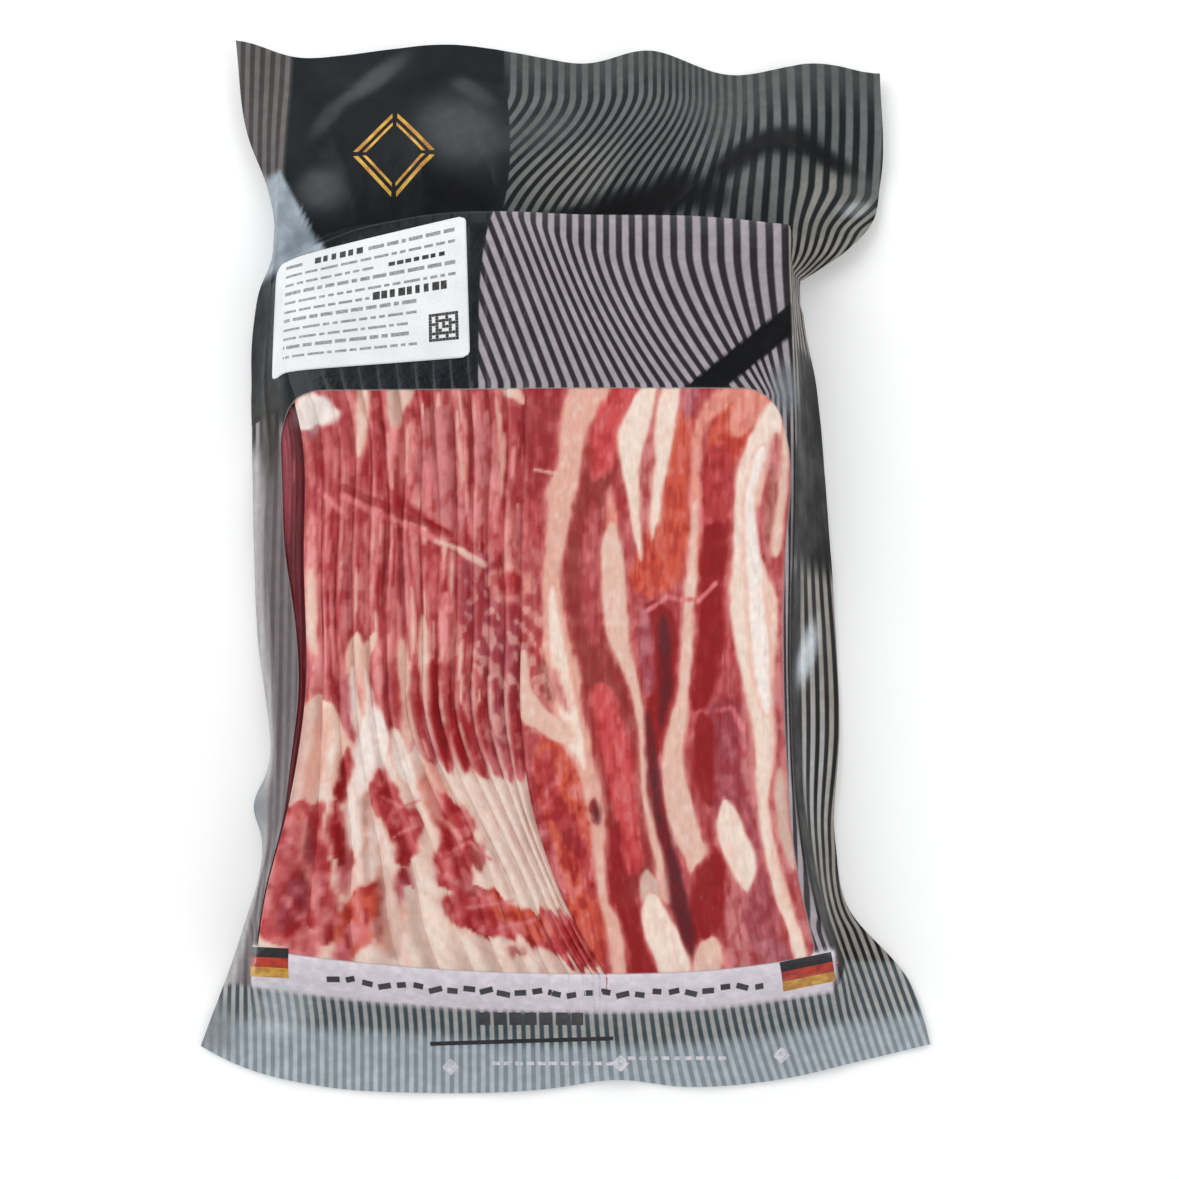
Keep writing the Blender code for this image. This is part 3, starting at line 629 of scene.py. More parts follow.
def bottom_edge(x):
    return curve(BOTTOM_EDGE, x)


def fan_splay(y):
    return FAN_SHIFT * np.clip((FAN_START_Y - y) / (FAN_START_Y - FAN_END_Y), 0, 1) ** FAN_POWER


def fan_crowd(y):
    return FAN_CROWD * ease((FAN_START_Y - 4 - y) / 58)


def fan_share(share, y):
    """Share across the strips once they spread at the near left and crowd at the last slice."""
    return mix(share, 1 - np.clip(1 - share, 0, None) ** FAN_POWER, fan_crowd(y))


def wobble(base_x, y):
    """Sideways wander of the slice edges."""
    fade = ease((base_x - STRIPS_LEFT_X) / 5) * (1 - ease((base_x - LAST_SLICE_X) / 8))
    return STRIP_WOBBLE * fade * grain(base_x / 7, y / 26, 5)


def across_slices(base_x, y):
    """Plan x of a line that follows the slices, named by its x at the middle of the block."""
    base_x = base_x + wobble(base_x, y)
    last = LAST_SLICE_X + fan_splay(y)
    strip_share = fan_share((base_x - STRIPS_LEFT_X) / (LAST_SLICE_X - STRIPS_LEFT_X), y)
    whole_share = (base_x - LAST_SLICE_X) / (STRIPS_RIGHT_X - LAST_SLICE_X)
    strips = mix(block_left(y), last, strip_share)
    whole = mix(last, block_right(y), whole_share)
    return np.where(base_x < LAST_SLICE_X, strips, whole)


def slice_base(x, y):
    """The name of the line along the slices that passes through a place."""
    left = block_left(y)
    last = LAST_SLICE_X + fan_splay(y)
    target = (x - left) / (last - left)
    share = target
    crowd = fan_crowd(y)
    for _ in range(7):
        slope = 1 - crowd + crowd * FAN_POWER * np.clip(1 - share, 0, None) ** (FAN_POWER - 1)
        share = share - (fan_share(share, y) - target) / slope
    strips = mix(STRIPS_LEFT_X, LAST_SLICE_X, share)
    whole = mix(LAST_SLICE_X, STRIPS_RIGHT_X, (x - last) / (block_right(y) - last))
    bent = np.where(x < last, strips, whole)
    base = bent
    for _ in range(3):
        base = bent - wobble(base, y)
    return base


def strip_place(x, y):
    """Number of the strip at a place, with the share of its width as the decimals."""
    return (slice_base(x, y) - STRIPS_LEFT_X) / STRIP_WIDTH


def step_height(y):
    return STRIP_STEP * mix(1, PRINT_STEP_SHARE, ease((y - PRINT_Y) / PRINT_BLEND))


def slice_relief(x, y):
    """Saw-tooth of the slice edges: a sharp step up, then a slow fall to the next."""
    place = strip_place(x, y)
    lip = STRIP_LIP / STRIP_WIDTH
    part = place - np.floor(place)
    tooth = np.where(part < lip, np.sin(part / lip * np.pi / 2), (1 - part) / (1 - lip))
    inside = (place > 0) & (place < STRIP_COUNT)
    risen = np.sin(np.clip((place - STRIP_COUNT) / lip, 0, 1) * np.pi / 2)
    on_whole_slice = np.where(place >= STRIP_COUNT, risen, 0)
    return step_height(y) * np.where(inside, tooth, on_whole_slice)


def block_top(x, y, crests=False):
    """Height of the tight film over the slices, or over the crests of their edges alone."""
    low_left = STRIPS_LOW * (1 - np.clip(strip_place(x, y) / STRIP_COUNT, 0, 1))
    low_front = FRONT_LOW * ease((-60 - y) / 60)
    swell = 0.5 * np.sin(x / 23.0 + 0.7) * np.sin(y / 31.0 + 0.4)
    relief = step_height(y) if crests else slice_relief(x, y)
    return BLOCK_TOP - low_left - low_front + swell + relief


def outside_block(x, y):
    """0 on the block's shoulder, 1 at the foot of the wall, below 0 on its flat top."""
    left = block_left(y)
    right = block_right(y)
    front = block_front(x)
    back = block_back(x)
    side = np.maximum((left - x) / curve(LEFT_WALL, y), (x - right) / curve(RIGHT_WALL, y))
    end = np.maximum((front - y) / curve(FRONT_WALL, x), (y - back) / curve(BACK_WALL, x))
    both = np.clip(side, 0, None) ** CORNER_POWER + np.clip(end, 0, None) ** CORNER_POWER
    inward = np.minimum(np.minimum(x - left, right - x), np.minimum(y - front, back - y))
    return both ** (1 / CORNER_POWER), np.clip(inward, 0, None)


def gather(x, y):
    """Radial folds where the film turns round the block's far right corner."""
    radius = np.hypot(x - GATHER_X, y - GATHER_Y)
    turn = np.arctan2(y - GATHER_Y, x - GATHER_X)
    return GATHER_HEIGHT * bell(radius - GATHER_RADIUS, GATHER_SPREAD) * np.cos(GATHER_FOLDS * turn)


def ripples(rows, at):
    return sum(height * bell(at - place, half) for place, half, height in rows)


def seam_surface(x, y):
    """Height of the joined films outside the block."""
    left = np.clip((left_foot(y) - x) / (left_foot(y) - left_edge(y)), 0, 1)
    right = np.clip((x - right_foot(y)) / (right_edge(y) - right_foot(y)), 0, 1)
    front = np.clip((front_foot(x) - y) / (front_foot(x) - bottom_edge(x)), 0, 1)
    back = np.clip((y - back_foot(x)) / (top_edge(x) - back_foot(x)), 0, 1)
    skirt = np.maximum(left, right) ** SKIRT_BOW
    height = curve(SEAM_HEIGHT, y)
    height = height + FLAP_RISE * np.sin(np.pi * np.minimum(back * 1.25, 1)) * (1 - skirt)
    height = height - FLAP_EDGE_DROP * back**2
    height = mix(height, curve(SKIRT_EDGE_HEIGHT, y), skirt)
    height = height + left * ripples(LEFT_RIPPLES, y) + right * ripples(RIGHT_RIPPLES, y)
    for edge_x, root_x, half, rise in FLAP_FOLDS:
        fold = bell(x - mix(root_x, edge_x, back), half)
        height = height + rise * fold * mix(FOLD_AT_BLOCK, 1, back) * ease(back * 4)
    height = height + gather(x, y) * ease(right * 3 + back * 3)
    height = mix(height, FRONT_EDGE_HEIGHT, ease(front))
    height = height + front * ripples(FRONT_RIPPLES, x)
    return np.maximum(height, LEAST_HEIGHT)


def along(x, y, start, end):
    """Distance from a straight stretch, and the share of its length reached beside a place."""
    run = np.array(end, float) - np.array(start, float)
    share = np.clip(((x - start[0]) * run[0] + (y - start[1]) * run[1]) / run.dot(run), 0, 1)
    return np.hypot(x - start[0] - share * run[0], y - start[1] - share * run[1]), share


def creases(x, y):
    """Sharp-backed fine folds that the vacuum leaves in the slack film."""
    height = 0.0
    for start, end, half, rise in CREASES:
        distance, share = along(x, y, start, end)
        height = height + rise * np.exp(-distance / half) * np.sin(np.pi * mix(0.12, 0.88, share))
    return height


def film_height(x, y, crests=False):
    """Upper face of the film: the solid's form with its fine creases."""
    outside, inward = outside_block(x, y)
    wall = np.clip(outside, 0, 1)
    slack = ease(wall * 1.5 - 0.5)
    crumple = 0.16 * grain(x / 7, y / 7, 3) + 0.1 * grain(x / 3, y / 4, 4)
    seam = seam_surface(x, y) + slack * (creases(x, y) + crumple)
    falling = SHOULDER_LINEAR * wall + (1 - SHOULDER_LINEAR) * ease(wall)
    shoulder = SHOULDER_DROP * np.exp(-inward / SHOULDER_REACH)
    return mix(block_top(x, y, crests) - shoulder, seam, falling)


def underside(x, y):
    """Lower film: flat under the block, then up to the seam."""
    outside, inward = outside_block(x, y)
    wall = np.clip(outside, 0, 1)
    return mix(TABLE_GAP, film_height(x, y) - FILM_PAIR, ease(wall))


def stations(low, high, count, last=False):
    """Lines that share out the space between two lines."""
    shares = np.linspace(0, 1, count + 1)
    if not last:
        shares = shares[:-1]
    return [lambda at, s=share: mix(low(at), high(at), s) for share in shares]


def slice_line(base_x):
    return lambda y: across_slices(np.full_like(y, base_x), y)


def strip_lines(offsets):
    """Lines along every strip, at the given distances from its left edge."""
    edges = [STRIPS_LEFT_X + number * STRIP_WIDTH for number in range(STRIP_COUNT)]
    return [slice_line(edge + offset) for edge in edges for offset in offsets]


def settle(columns, rows):
    """Plan places where two sets of lines cross."""
    x = np.tile(np.linspace(-90, 90, len(columns)), (len(rows), 1))
    y = np.tile(np.linspace(-140, 140, len(rows))[:, None], (1, len(columns)))
    for _ in range(SETTLE_ROUNDS):
        x = np.stack([line(y[:, i]) for i, line in enumerate(columns)], axis=1)
        y = np.stack([line(x[j]) for j, line in enumerate(rows)], axis=0)
    return x, y


def grid_faces(rows, columns, start=0):
    """Four-sided faces of a grid of vertices, facing up."""
    j, i = np.meshgrid(np.arange(rows - 1), np.arange(columns - 1), indexing="ij")
    a = (start + j * columns + i).ravel()
    return np.stack([a, a + 1, a + 1 + columns, a + columns], axis=1)


def grid_rim(rows, columns):
    """Vertices round the edge of a grid, in order."""
    rim = list(range(columns)) + [j * columns + columns - 1 for j in range(1, rows)]
    rim += [(rows - 1) * columns + i for i in range(columns - 2, -1, -1)]
    return rim + [j * columns for j in range(rows - 2, 0, -1)]


def closed_sheet(x, y, upper, lower):
    """Vertices and faces of a closed sheet between two heights over a plan grid."""
    rows, columns = x.shape
    count = rows * columns
    rim = grid_rim(rows, columns)
    faces = grid_faces(rows, columns).tolist() + grid_faces(rows, columns, start=count)[:, ::-1].tolist()
    faces += [(a, count + a, count + b, b) for a, b in zip(rim, rim[1:] + rim[:1])]
    vertices = [np.stack([x, y, height], axis=-1).reshape(-1, 3) for height in (upper, lower)]
    return np.concatenate(vertices), faces


def new_piece(name, vertices, faces, material, fields=None, normals=None, crease=None):
    """Mesh piece in the frame, with its painted fields, riding on the pack."""
    mesh = bpy.data.meshes.new(name)
    mesh.from_pydata(((vertices + PLAN_SHIFT) * MM).tolist(), [], [list(face) for face in faces])
    mesh.validate()
    mesh.shade_smooth()
    if crease:
        mesh.set_sharp_from_angle(angle=math.radians(crease))
    for field, values in (fields or {}).items():
        values = np.asarray(values, np.float32)
        if values.ndim == 1:
            mesh.attributes.new(field, "FLOAT", "POINT").data.foreach_set("value", values)
        else:
            colours = np.ones((len(values), 4), np.float32)
            colours[:, :3] = values
            made = mesh.color_attributes.new(name=field, type="FLOAT_COLOR", domain="POINT")
            made.data.foreach_set("color", colours.ravel())
    if normals is not None:
        mesh.normals_split_custom_set_from_vertices(normals.tolist())
    mesh.materials.append(material)
    piece = bpy.data.objects.new(name, mesh)
    bpy.context.scene.collection.objects.link(piece)
    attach(piece, "root")
    return piece


def tone(name):
    return np.array(TONES[name], float) / 255


def linear(colour):
    """Scene colour of a colour as seen on the screen."""
    colour = np.clip(colour, 0, 1)
    return np.where(colour < 0.04045, colour / 12.92, ((colour + 0.055) / 1.055) ** 2.4)


def lay(colour, name, share):
    """A tone laid over painted colours, by a share for each vertex."""
    return mix(colour, tone(name), np.asarray(share)[..., None])


def node(tree, kind, inputs=(), **settings):
    """Shader node with its settings, and its inputs given as values or as sockets to link."""
    made = tree.nodes.new(kind)
    for key, value in settings.items():
        setattr(made, key, value)
    for key, value in dict(inputs).items():
        if isinstance(value, bpy.types.NodeSocket):
            tree.links.new(value, made.inputs[key])
        else:
            made.inputs[key].default_value = value
    return made


def field(tree, name, colour=False):
    made = node(tree, "ShaderNodeAttribute", attribute_name=name)
    return made.outputs["Color" if colour else "Fac"]


def reckon(tree, operation, *values):
    return node(tree, "ShaderNodeMath", enumerate(values), operation=operation).outputs[0]


def rescale(tree, value, low, high, to_low=0.0, to_high=1.0):
    """Smooth step of a value between two limits."""
    inputs = {"Value": value, "From Min": low, "From Max": high, "To Min": to_low, "To Max": to_high}
    return node(tree, "ShaderNodeMapRange", inputs, interpolation_type="SMOOTHSTEP").outputs["Result"]


def blend(tree, share, a, b, kind="MIX"):
    """Mix of two colours."""
    made = node(tree, "ShaderNodeMix", data_type="RGBA", blend_type=kind)
    for socket, value in ((made.inputs[0], share), (made.inputs[6], a), (made.inputs[7], b)):
        if isinstance(value, bpy.types.NodeSocket):
            tree.links.new(value, socket)
        else:
            socket.default_value = value
    return made.outputs[2]


def mottle(tree, size, detail=3.0, stretch=(1, 1, 1), roughness=0.55):
    """Noise with features of a size in millimetres, stretched along the axes."""
    place = node(tree, "ShaderNodeTexCoord").outputs["Object"]
    scale = [1 / (size * MM * s) for s in stretch]
    mapped = node(tree, "ShaderNodeMapping", {"Vector": place, "Scale": scale}).outputs[0]
    inputs = {"Vector": mapped, "Scale": 1.0, "Detail": detail, "Roughness": roughness}
    return node(tree, "ShaderNodeTexNoise", inputs).outputs["Fac"]


def bumped(tree, heights, strength, depth):
    inputs = {"Height": heights, "Strength": strength, "Distance": depth * MM}
    return node(tree, "ShaderNodeBump", inputs).outputs["Normal"]


def new_material(name):
    material = bpy.data.materials.new(name)
    material.use_nodes = True
    tree = material.node_tree
    return material, tree, tree.nodes["Principled BSDF"]


def wire(tree, shader, **sockets):
    for name, value in sockets.items():
        socket = shader.inputs[name.replace("_", " ")]
        if isinstance(value, bpy.types.NodeSocket):
            tree.links.new(value, socket)
        else:
            socket.default_value = value


def film_material(name, gloss, satin):
    """Printed film, clear in its window, with stripes read from a painted phase."""
    material, tree, shader = new_material(name)
    wave = reckon(tree, "MULTIPLY", reckon(tree, "PINGPONG", field(tree, "phase"), 0.5), 2.0)
    stripe = rescale(tree, wave, 0.33, 0.67)
    striped = rescale(tree, field(tree, "panel"), 0.25, -0.25)
    lines = reckon(tree, "MULTIPLY", stripe, striped)
    print_colour = blend(tree, lines, field(tree, "dark", True), field(tree, "light", True))
    smear = mottle(tree, 3.0, 4.0)
    uneven = blend(tree, rescale(tree, smear, 0.35, 0.75), (0.9, 0.9, 0.9, 1), (1.1, 1.1, 1.1, 1))
    print_colour = blend(tree, 1.0, print_colour, uneven, "MULTIPLY")
    clear = rescale(tree, field(tree, "window"), -0.35, 0.35)
    colour = blend(tree, clear, print_colour, (0.62, 0.58, 0.6, 1))
    # Flecks of the clear film: partly its own cloudiness, partly small painted glints.
    fleck = rescale(tree, mottle(tree, 1.4, 5.0, (0.6, 1.8, 1)), 0.6, 0.8, 0.0, 0.06)
    haze_and_glints = reckon(tree, "ADD", fleck, field(tree, "haze_and_glints"))
    alpha = node(tree, "ShaderNodeMix", {0: clear, 2: 1.0, 3: haze_and_glints}, data_type="FLOAT")
    rough = rescale(tree, mottle(tree, 9.0, 3.0), 0.3, 0.7, satin, satin + 0.18)
    finest = reckon(tree, "MULTIPLY", mottle(tree, 1.2, 3.0), 0.3)
    crinkle = reckon(tree, "ADD", mottle(tree, 5.0, 4.0), finest)
    wire(tree, shader, Base_Color=colour, Roughness=rough, Alpha=alpha.outputs[0],
         Normal=bumped(tree, crinkle, 0.5, 0.35))
    shader.inputs["IOR"].default_value = 1.42
    shader.inputs["Specular IOR Level"].default_value = gloss
    return material


def meat_material():
    """Raw slices under film: painted lean and fat with a fine grain and a wet coat."""
    material, tree, shader = new_material("Bacon slice")
    painted = field(tree, "meat", True)
    fibre = mottle(tree, 1.1, 3.0, (0.7, 2.8, 1))
    fleck = blend(tree, rescale(tree, fibre, 0.3, 0.72), (0.97, 0.955, 0.955, 1), (1.03, 1.04, 1.04, 1))
    colour = blend(tree, 1.0, painted, fleck, "MULTIPLY")
    rough = rescale(tree, mottle(tree, 2.2, 3.0), 0.3, 0.7, 0.34, 0.56)
    relief = reckon(tree, "ADD", fibre, mottle(tree, 2.5, 3.0, (1, 2, 1)))
    wire(tree, shader, Base_Color=colour, Roughness=rough, Normal=bumped(tree, relief, 0.4, 0.2))
    shader.inputs["Specular IOR Level"].default_value = 0.11
    shader.inputs["Coat Weight"].default_value = 0.1
    shader.inputs["Coat Roughness"].default_value = 0.18
    return material


def paper_material():
    material, tree, shader = new_material("Sticker paper")
    fibre = mottle(tree, 0.6, 4.0)
    stain = mottle(tree, 12.0, 3.0)
    pale = (*linear(tone("paper")), 1)
    grey = (*linear(tone("paper") * 0.94), 1)
    shade = reckon(tree, "ADD", reckon(tree, "MULTIPLY", fibre, 0.4), reckon(tree, "MULTIPLY", stain, 0.6))
    wire(tree, shader, Base_Color=blend(tree, rescale(tree, shade, 0.35, 0.65), grey, pale),
         Roughness=rescale(tree, stain, 0.3, 0.7, 0.42, 0.6), Normal=bumped(tree, fibre, 0.3, 0.05))
    return material


def ink_material(name, first, second, size=1.5, metallic=0.0):
    """Printed ink or foil in two tones."""
    material, tree, shader = new_material(name)
    wear = rescale(tree, mottle(tree, size, 4.0), 0.35, 0.65)
    wire(tree, shader, Base_Color=blend(tree, wear, (*linear(tone(first)), 1), (*linear(tone(second)), 1)),
         Roughness=rescale(tree, wear, 0.0, 1.0, 0.28, 0.45))
    shader.inputs["Metallic"].default_value = metallic
    return material


def rounded(u, v, radius):
    """Distance inside two straight sides that meet in a round corner."""
    corner = radius - np.hypot(np.clip(radius - u, 0, None), np.clip(radius - v, 0, None))
    return np.where((u < radius) & (v < radius), corner, np.minimum(u, v))


def window_inside(x, y):
    """Distance inside the edge of the clear window, below 0 on the print."""
    left = x - (block_left(y) - curve(WINDOW_LEFT_SHARE, y) * curve(LEFT_WALL, y))
    right = curve(WINDOW_RIGHT, y) - x
    far = WINDOW_TOP - y
    near = y - curve(WINDOW_NEAR, x)
    far_corners = np.minimum(rounded(left, far, WINDOW_CORNER), rounded(right, far, WINDOW_RIGHT_CORNER))
    near_corners = [rounded(side, near, WINDOW_NEAR_CORNER) for side in (left, right)]
    return np.minimum(far_corners, np.minimum(*near_corners))


def face_phase(x, y):
    """Stripe number on the block's face: upright at the far end, sweeping right lower down."""
    depth = np.clip(block_back(x) - y, 0, FACE_DEPTH)
    root = x
    for _ in range(FACE_ROUNDS):
        reach = FACE_SWEEP * (1 - 0.86 * ease((root - 30) / 34))
        start = 12.0 * ease((root + 23) / 40)
        power = 1 + 0.5 * ease((root + 23) / 45)
        swept = reach * (np.clip(depth - start, 0, None) / (FACE_DEPTH - start)) ** power
        root = mix(root, x - swept, TRACE_STEP)
    return curve(FACE_STRIPES, root)


def flap_phase(x, y):
    """Stripe number on the flap: leaning right from the block, upright at the free edge."""
    rise = np.clip(y - back_foot(x), 0, None)
    lean = FLAP_LEAN * (ease((rise + 4) / 46) - ease(np.array(4 / 46)))
    root = x
    for _ in range(FLAP_ROUNDS):
        root = mix(root, x - lean * (1 - 0.92 * ease((root + 10) / 72)), TRACE_STEP)
    return curve(FACE_STRIPES, root)


def side_phase(x, y):
    """Stripe number beside the block, shared out from its right shoulder to the film's edge."""
    count = mix(SIDE_STRIPES, CORNER_STRIPES, ease((y - 70) / 26))
    share = (x - block_right(y)) / (right_edge(y) - block_right(y))
    return curve(FACE_STRIPES, block_right(y)) + count * np.clip(share, 0, 1.1)


def end_phase(x, y):
    """Stripe number on the near wall and strip, leaning more towards the right."""
    lean = 0.35 * ease((x + 20) / 90)
    return (x + lean * (y + 128)) / END_PERIOD - END_LAG


def spot_share(x, y, spot_x, spot_y, half_x, half_y, turn, strength):
    """Share of a turned oval spot at plan places, soft at its rim."""
    u = (x - spot_x) * math.cos(turn) + (y - spot_y) * math.sin(turn)
    v = (y - spot_y) * math.cos(turn) - (x - spot_x) * math.sin(turn)
    return strength * np.exp(-(((u / half_x) ** 2 + (v / half_y) ** 2) ** 2))


def paint_film(x, y):
    """Painted fields of the film: stripe number, tones, cloudiness of the clear film with painted glints, and
    the edges of its zones.
    """
    back = ease((y - block_back(x)) / 4)
    right = ease((x - block_right(y) + 1) / 2)
    left = ease((block_left(y) - x) / 2)
    near = ease((curve(WINDOW_NEAR, x) - BAND_DEPTH * mix(0.2, 1, ease((76 - x) / 4)) - y) / 1.5)
    # The near flange is pale blue-grey: partly the clear film over the table, partly a painted reflection of
    # the bright surroundings.
    flange = ease((front_foot(x) + 2 - y) / 5)
    band = ease((curve(WINDOW_NEAR, x) - y + 1.6) / 0.8) * (1 - near)
    band = band * ease((x - BAND_LEFT) / 2) * ease((BAND_RIGHT - x) / 2)
    beside = ease((x - right_foot(y)) / 4)
    phase = mix(face_phase(x, y), flap_phase(x, y), back)
    phase = mix(phase, side_phase(x, y), right * (1 - ease((y - 92) / 14)))
    phase = np.where(x < -60, x / EDGE_PERIOD - LEFT_LAG, phase)
    phase = mix(phase, end_phase(x, y), ease((-104 - y) / 6))
    dark = lay(np.tile(tone("face_dark"), x.shape + (1,)), "flap_dark", back)
    light = lay(np.tile(tone("face_light"), x.shape + (1,)), "flap_light", back)
    # Painted sheen: both stripe tones turn grey towards the flap's free edge.
    rim = back * ease((y - top_edge(x) + 17) / 15)
    side = right * (1 - ease((y - 84) / 14))
    blank = side * ease((27 - y) / 6) * ease((y + 12) / 9)
    black = side * ease((58 - y) / 6) * ease((y - 17) / 8) * ease((x - block_right(y) - 1.5) / 2.5)
    root = side * ease((-6 - y) / 10) * ease((block_right(y) + 4.2 - x) / 1.8)
    wedge_line = along(x, y, WEDGE_NEAR, WEDGE_FAR)[0] - WEDGE_HALF
    wedge = ease(0.5 - wedge_line / 0.7) * (1 - right)
    far_left = ease((PANEL_LEFT_ON_FLAP - x) / 1.5) * back
    outer = np.clip((left_foot(y) - x) / (left_foot(y) - left_edge(y)), 0, 1)
    skirt = left * ease((34 - y) / 10)
    paler = ease(1.3 * outer)
    coats = (
        ("flap_rim", 0.62 * rim, "flap_rim", 0.7 * rim),
        ("side_dark", side, "side_light", side),
        ("slate", blank, "slate", 0.92 * blank),
        ("night", black, "night", black),
        ("night", root, "night", root),
        ("night", wedge, "night", wedge),
        ("edge_dark", far_left, "edge_light", far_left),
        ("skirt", skirt, "skirt", skirt),
        ("skirt_pale", skirt * paler * 0.85, "skirt_pale", skirt * mix(0.25, 0.95, paler)),
        ("end_dark", near, "end_light", near),
        ("flange_line", flange * 0.85, "flange", flange),
        ("band", band, "band", band),
    )
    for dark_tone, dark_share, light_tone, light_share in coats:
        dark = lay(dark, dark_tone, dark_share)
        light = lay(light, light_tone, light_share)
    on_flap = np.minimum(curve(PANEL_RIGHT, y) - x, x - np.where(y > 86, PANEL_LEFT_ON_FLAP - 0.9, -200))
    panel = np.minimum(on_flap, y - 36)
    # Painted highlights on the light stripes alone.
    for name, *spot in LIGHT_PATCHES:
        light = lay(light, name, spot_share(x, y, *spot))
    dark = lay(dark, "panel", ease(panel / 1.2 + 0.5) * (1 - skirt))
    for name, *spot in FILM_PATCHES:
        share = spot_share(x, y, *spot)
        dark = lay(dark, name, share)
        light = lay(light, name, share)
    (ax, ay), (bx, by) = GUSSET_EDGE
    beyond = ((x - ax) * (ay - by) + (y - ay) * (bx - ax)) / math.hypot(bx - ax, by - ay)
    gusset = ease(0.5 - beyond / 1.2) * ease((ay - y) / 3) * ease((y - 76) / 5) * (x < -66)
    streaky = 0.88 + 0.12 * grain(x / 2.5, y / 6, 33)
    dark = lay(dark, "gusset", gusset * streaky)
    light = lay(light, "gusset", gusset * streaky)
    panel = panel + 9 * ease(-beyond / 4) * gusset
    # Clear film: painted glints along the crests of the slice edges, a faint random cloudiness, then the
    # painted glint spots.
    ridge = slice_relief(x, y) / STRIP_STEP
    haze_and_glints = 0.016 * ease(ridge * 2 - 1) + 0.014 * np.clip(grain(x / 9, y / 14, 8), 0, 1)
    for spot in FILM_GLINTS:
        haze_and_glints = haze_and_glints + spot_share(x, y, *spot)
    return {
        "phase": phase, "dark": linear(dark), "light": linear(light), "haze_and_glints": haze_and_glints,
        "panel": panel, "window": window_inside(x, y),
    }


def surface_normals(points):
    """Upward unit normals of a grid of points."""
    across = np.gradient(points, axis=1)
    up = np.gradient(points, axis=0)
    normal = np.cross(across, up)
    return normal / np.linalg.norm(normal, axis=2, keepdims=True)


def film_grid():
    """Plan grid of the whole pouch, with the places where its zones meet."""
    offsets = (0, 0.2, 0.45, 0.9, 1.9, 2.8, 3.7)
    zones_x = [
        stations(left_edge, left_foot, 14), stations(left_foot, block_left, 14),
        strip_lines(offsets) + stations(slice_line(LAST_SLICE_X), block_right, 84),
        stations(block_right, right_foot, 8), stations(right_foot, right_edge, 14, True),
    ]
    zones_y = [
        stations(bottom_edge, front_foot, 26), stations(front_foot, block_front, 22),
        stations(block_front, block_back, 230), stations(block_back, back_foot, 7),
        stations(back_foot, top_edge, 60, True),
    ]
    ends_x = np.cumsum([len(zone) for zone in zones_x])
    ends_y = np.cumsum([len(zone) for zone in zones_y])
    x, y = settle(sum(zones_x, []), sum(zones_y, []))
    return x, y, ends_x, ends_y


def make_film(x, y, ends_x, ends_y, clear, printed):
    """The upper film in five joined zones: near end, left side, face, right side and flap."""
    points = np.stack([x, y, film_height(x, y)], axis=-1)
    normals = surface_normals(points)
    fields = paint_film(x, y)
    left, right = ends_x[1], ends_x[2]
    near, far = ends_y[1], ends_y[2]
    last_row, last_column = x.shape[0] - 1, x.shape[1] - 1
    zones = {
        "film_near_end": (0, near, 0, last_column),
        "film_left_side": (near, far, 0, left),
        "film_face": (near, far, left, right),
        "film_right_side": (near, far, right, last_column),
        "film_flap": (far, last_row, 0, last_column),
    }
    pieces = []
    for name, (row, last, column, end) in zones.items():
        part = (slice(row, last + 1), slice(column, end + 1))
        values = {key: value[part].reshape(-1, *value.shape[2:]) for key, value in fields.items()}
        faces = grid_faces(last + 1 - row, end + 1 - column)
        material = clear if name == "film_face" else printed
        vertices, upward = (grid[part].reshape(-1, 3) for grid in (points, normals))
        made = new_piece(name, vertices, faces, material, values, upward)
        pieces.append(made)
    return pieces


def make_lower_film(x, y, material):
    """Lower film and the thin rim that joins it to the upper one."""
    step = 2
    rows = list(range(0, x.shape[0] - 1, step)) + [x.shape[0] - 1]
    columns = list(range(0, x.shape[1] - 1, step)) + [x.shape[1] - 1]
    sx = x[np.ix_(rows, columns)]
    sy = y[np.ix_(rows, columns)]
    under = np.stack([sx, sy, underside(sx, sy)], axis=-1).reshape(-1, 3)
    faces = grid_faces(len(rows), len(columns))[:, ::-1]
    rim = grid_rim(len(rows), len(columns))
    lip = under[rim] + [0, 0, FILM_RIM]
    above = len(under) + np.arange(len(rim))
    joined = [(a, b, d, c) for a, b, c, d in zip(rim, rim[1:] + rim[:1], above, np.roll(above, -1))]
    vertices = np.concatenate([under, lip])
    fields = paint_film(vertices[:, 0], vertices[:, 1])
    all_print = -9.0
    fields["window"] = np.full(len(vertices), all_print)
    piece = new_piece("film_back", vertices, faces.tolist() + joined, material, fields)
    return piece


def slice_solid(name, points, thickness, material, colours):
    """Closed slice: a fine painted upper face over a ruled underside."""
    rows, columns = points.shape[:2]
    top = points.reshape(-1, 3)
    ends = points[:, [0, -1]] - [0, 0, thickness]
    vertices = np.concatenate([top, ends.reshape(-1, 3)])
    below = len(top)
    faces = grid_faces(rows, columns).tolist()
    for j in range(rows - 1):
        near_left, far_left = below + 2 * j, below + 2 * j + 2
        near_right, far_right = near_left + 1, far_left + 1
        a, b = j * columns, (j + 1) * columns
        faces.append((near_left, far_left, far_right, near_right))
        faces.append((a, b, far_left, near_left))
        faces.append((b + columns - 1, a + columns - 1, near_right, far_right))
    first = list(range(columns))
    last = [(rows - 1) * columns + i for i in range(columns)]
    faces.append(tuple([below, below + 1] + first[::-1]))
    faces.append(tuple([below + 2 * rows - 1, below + 2 * rows - 2] + last))
    painted = colours.reshape(-1, 3)
    # The side walls darken towards their lower edges and the underside is darker: painted shade.
    edge = colours[:, [0, -1]].reshape(-1, 3)
    fields = {"meat": linear(np.concatenate([painted, edge * 0.8]))}
    return new_piece(name, vertices, faces, material, fields, crease=62)


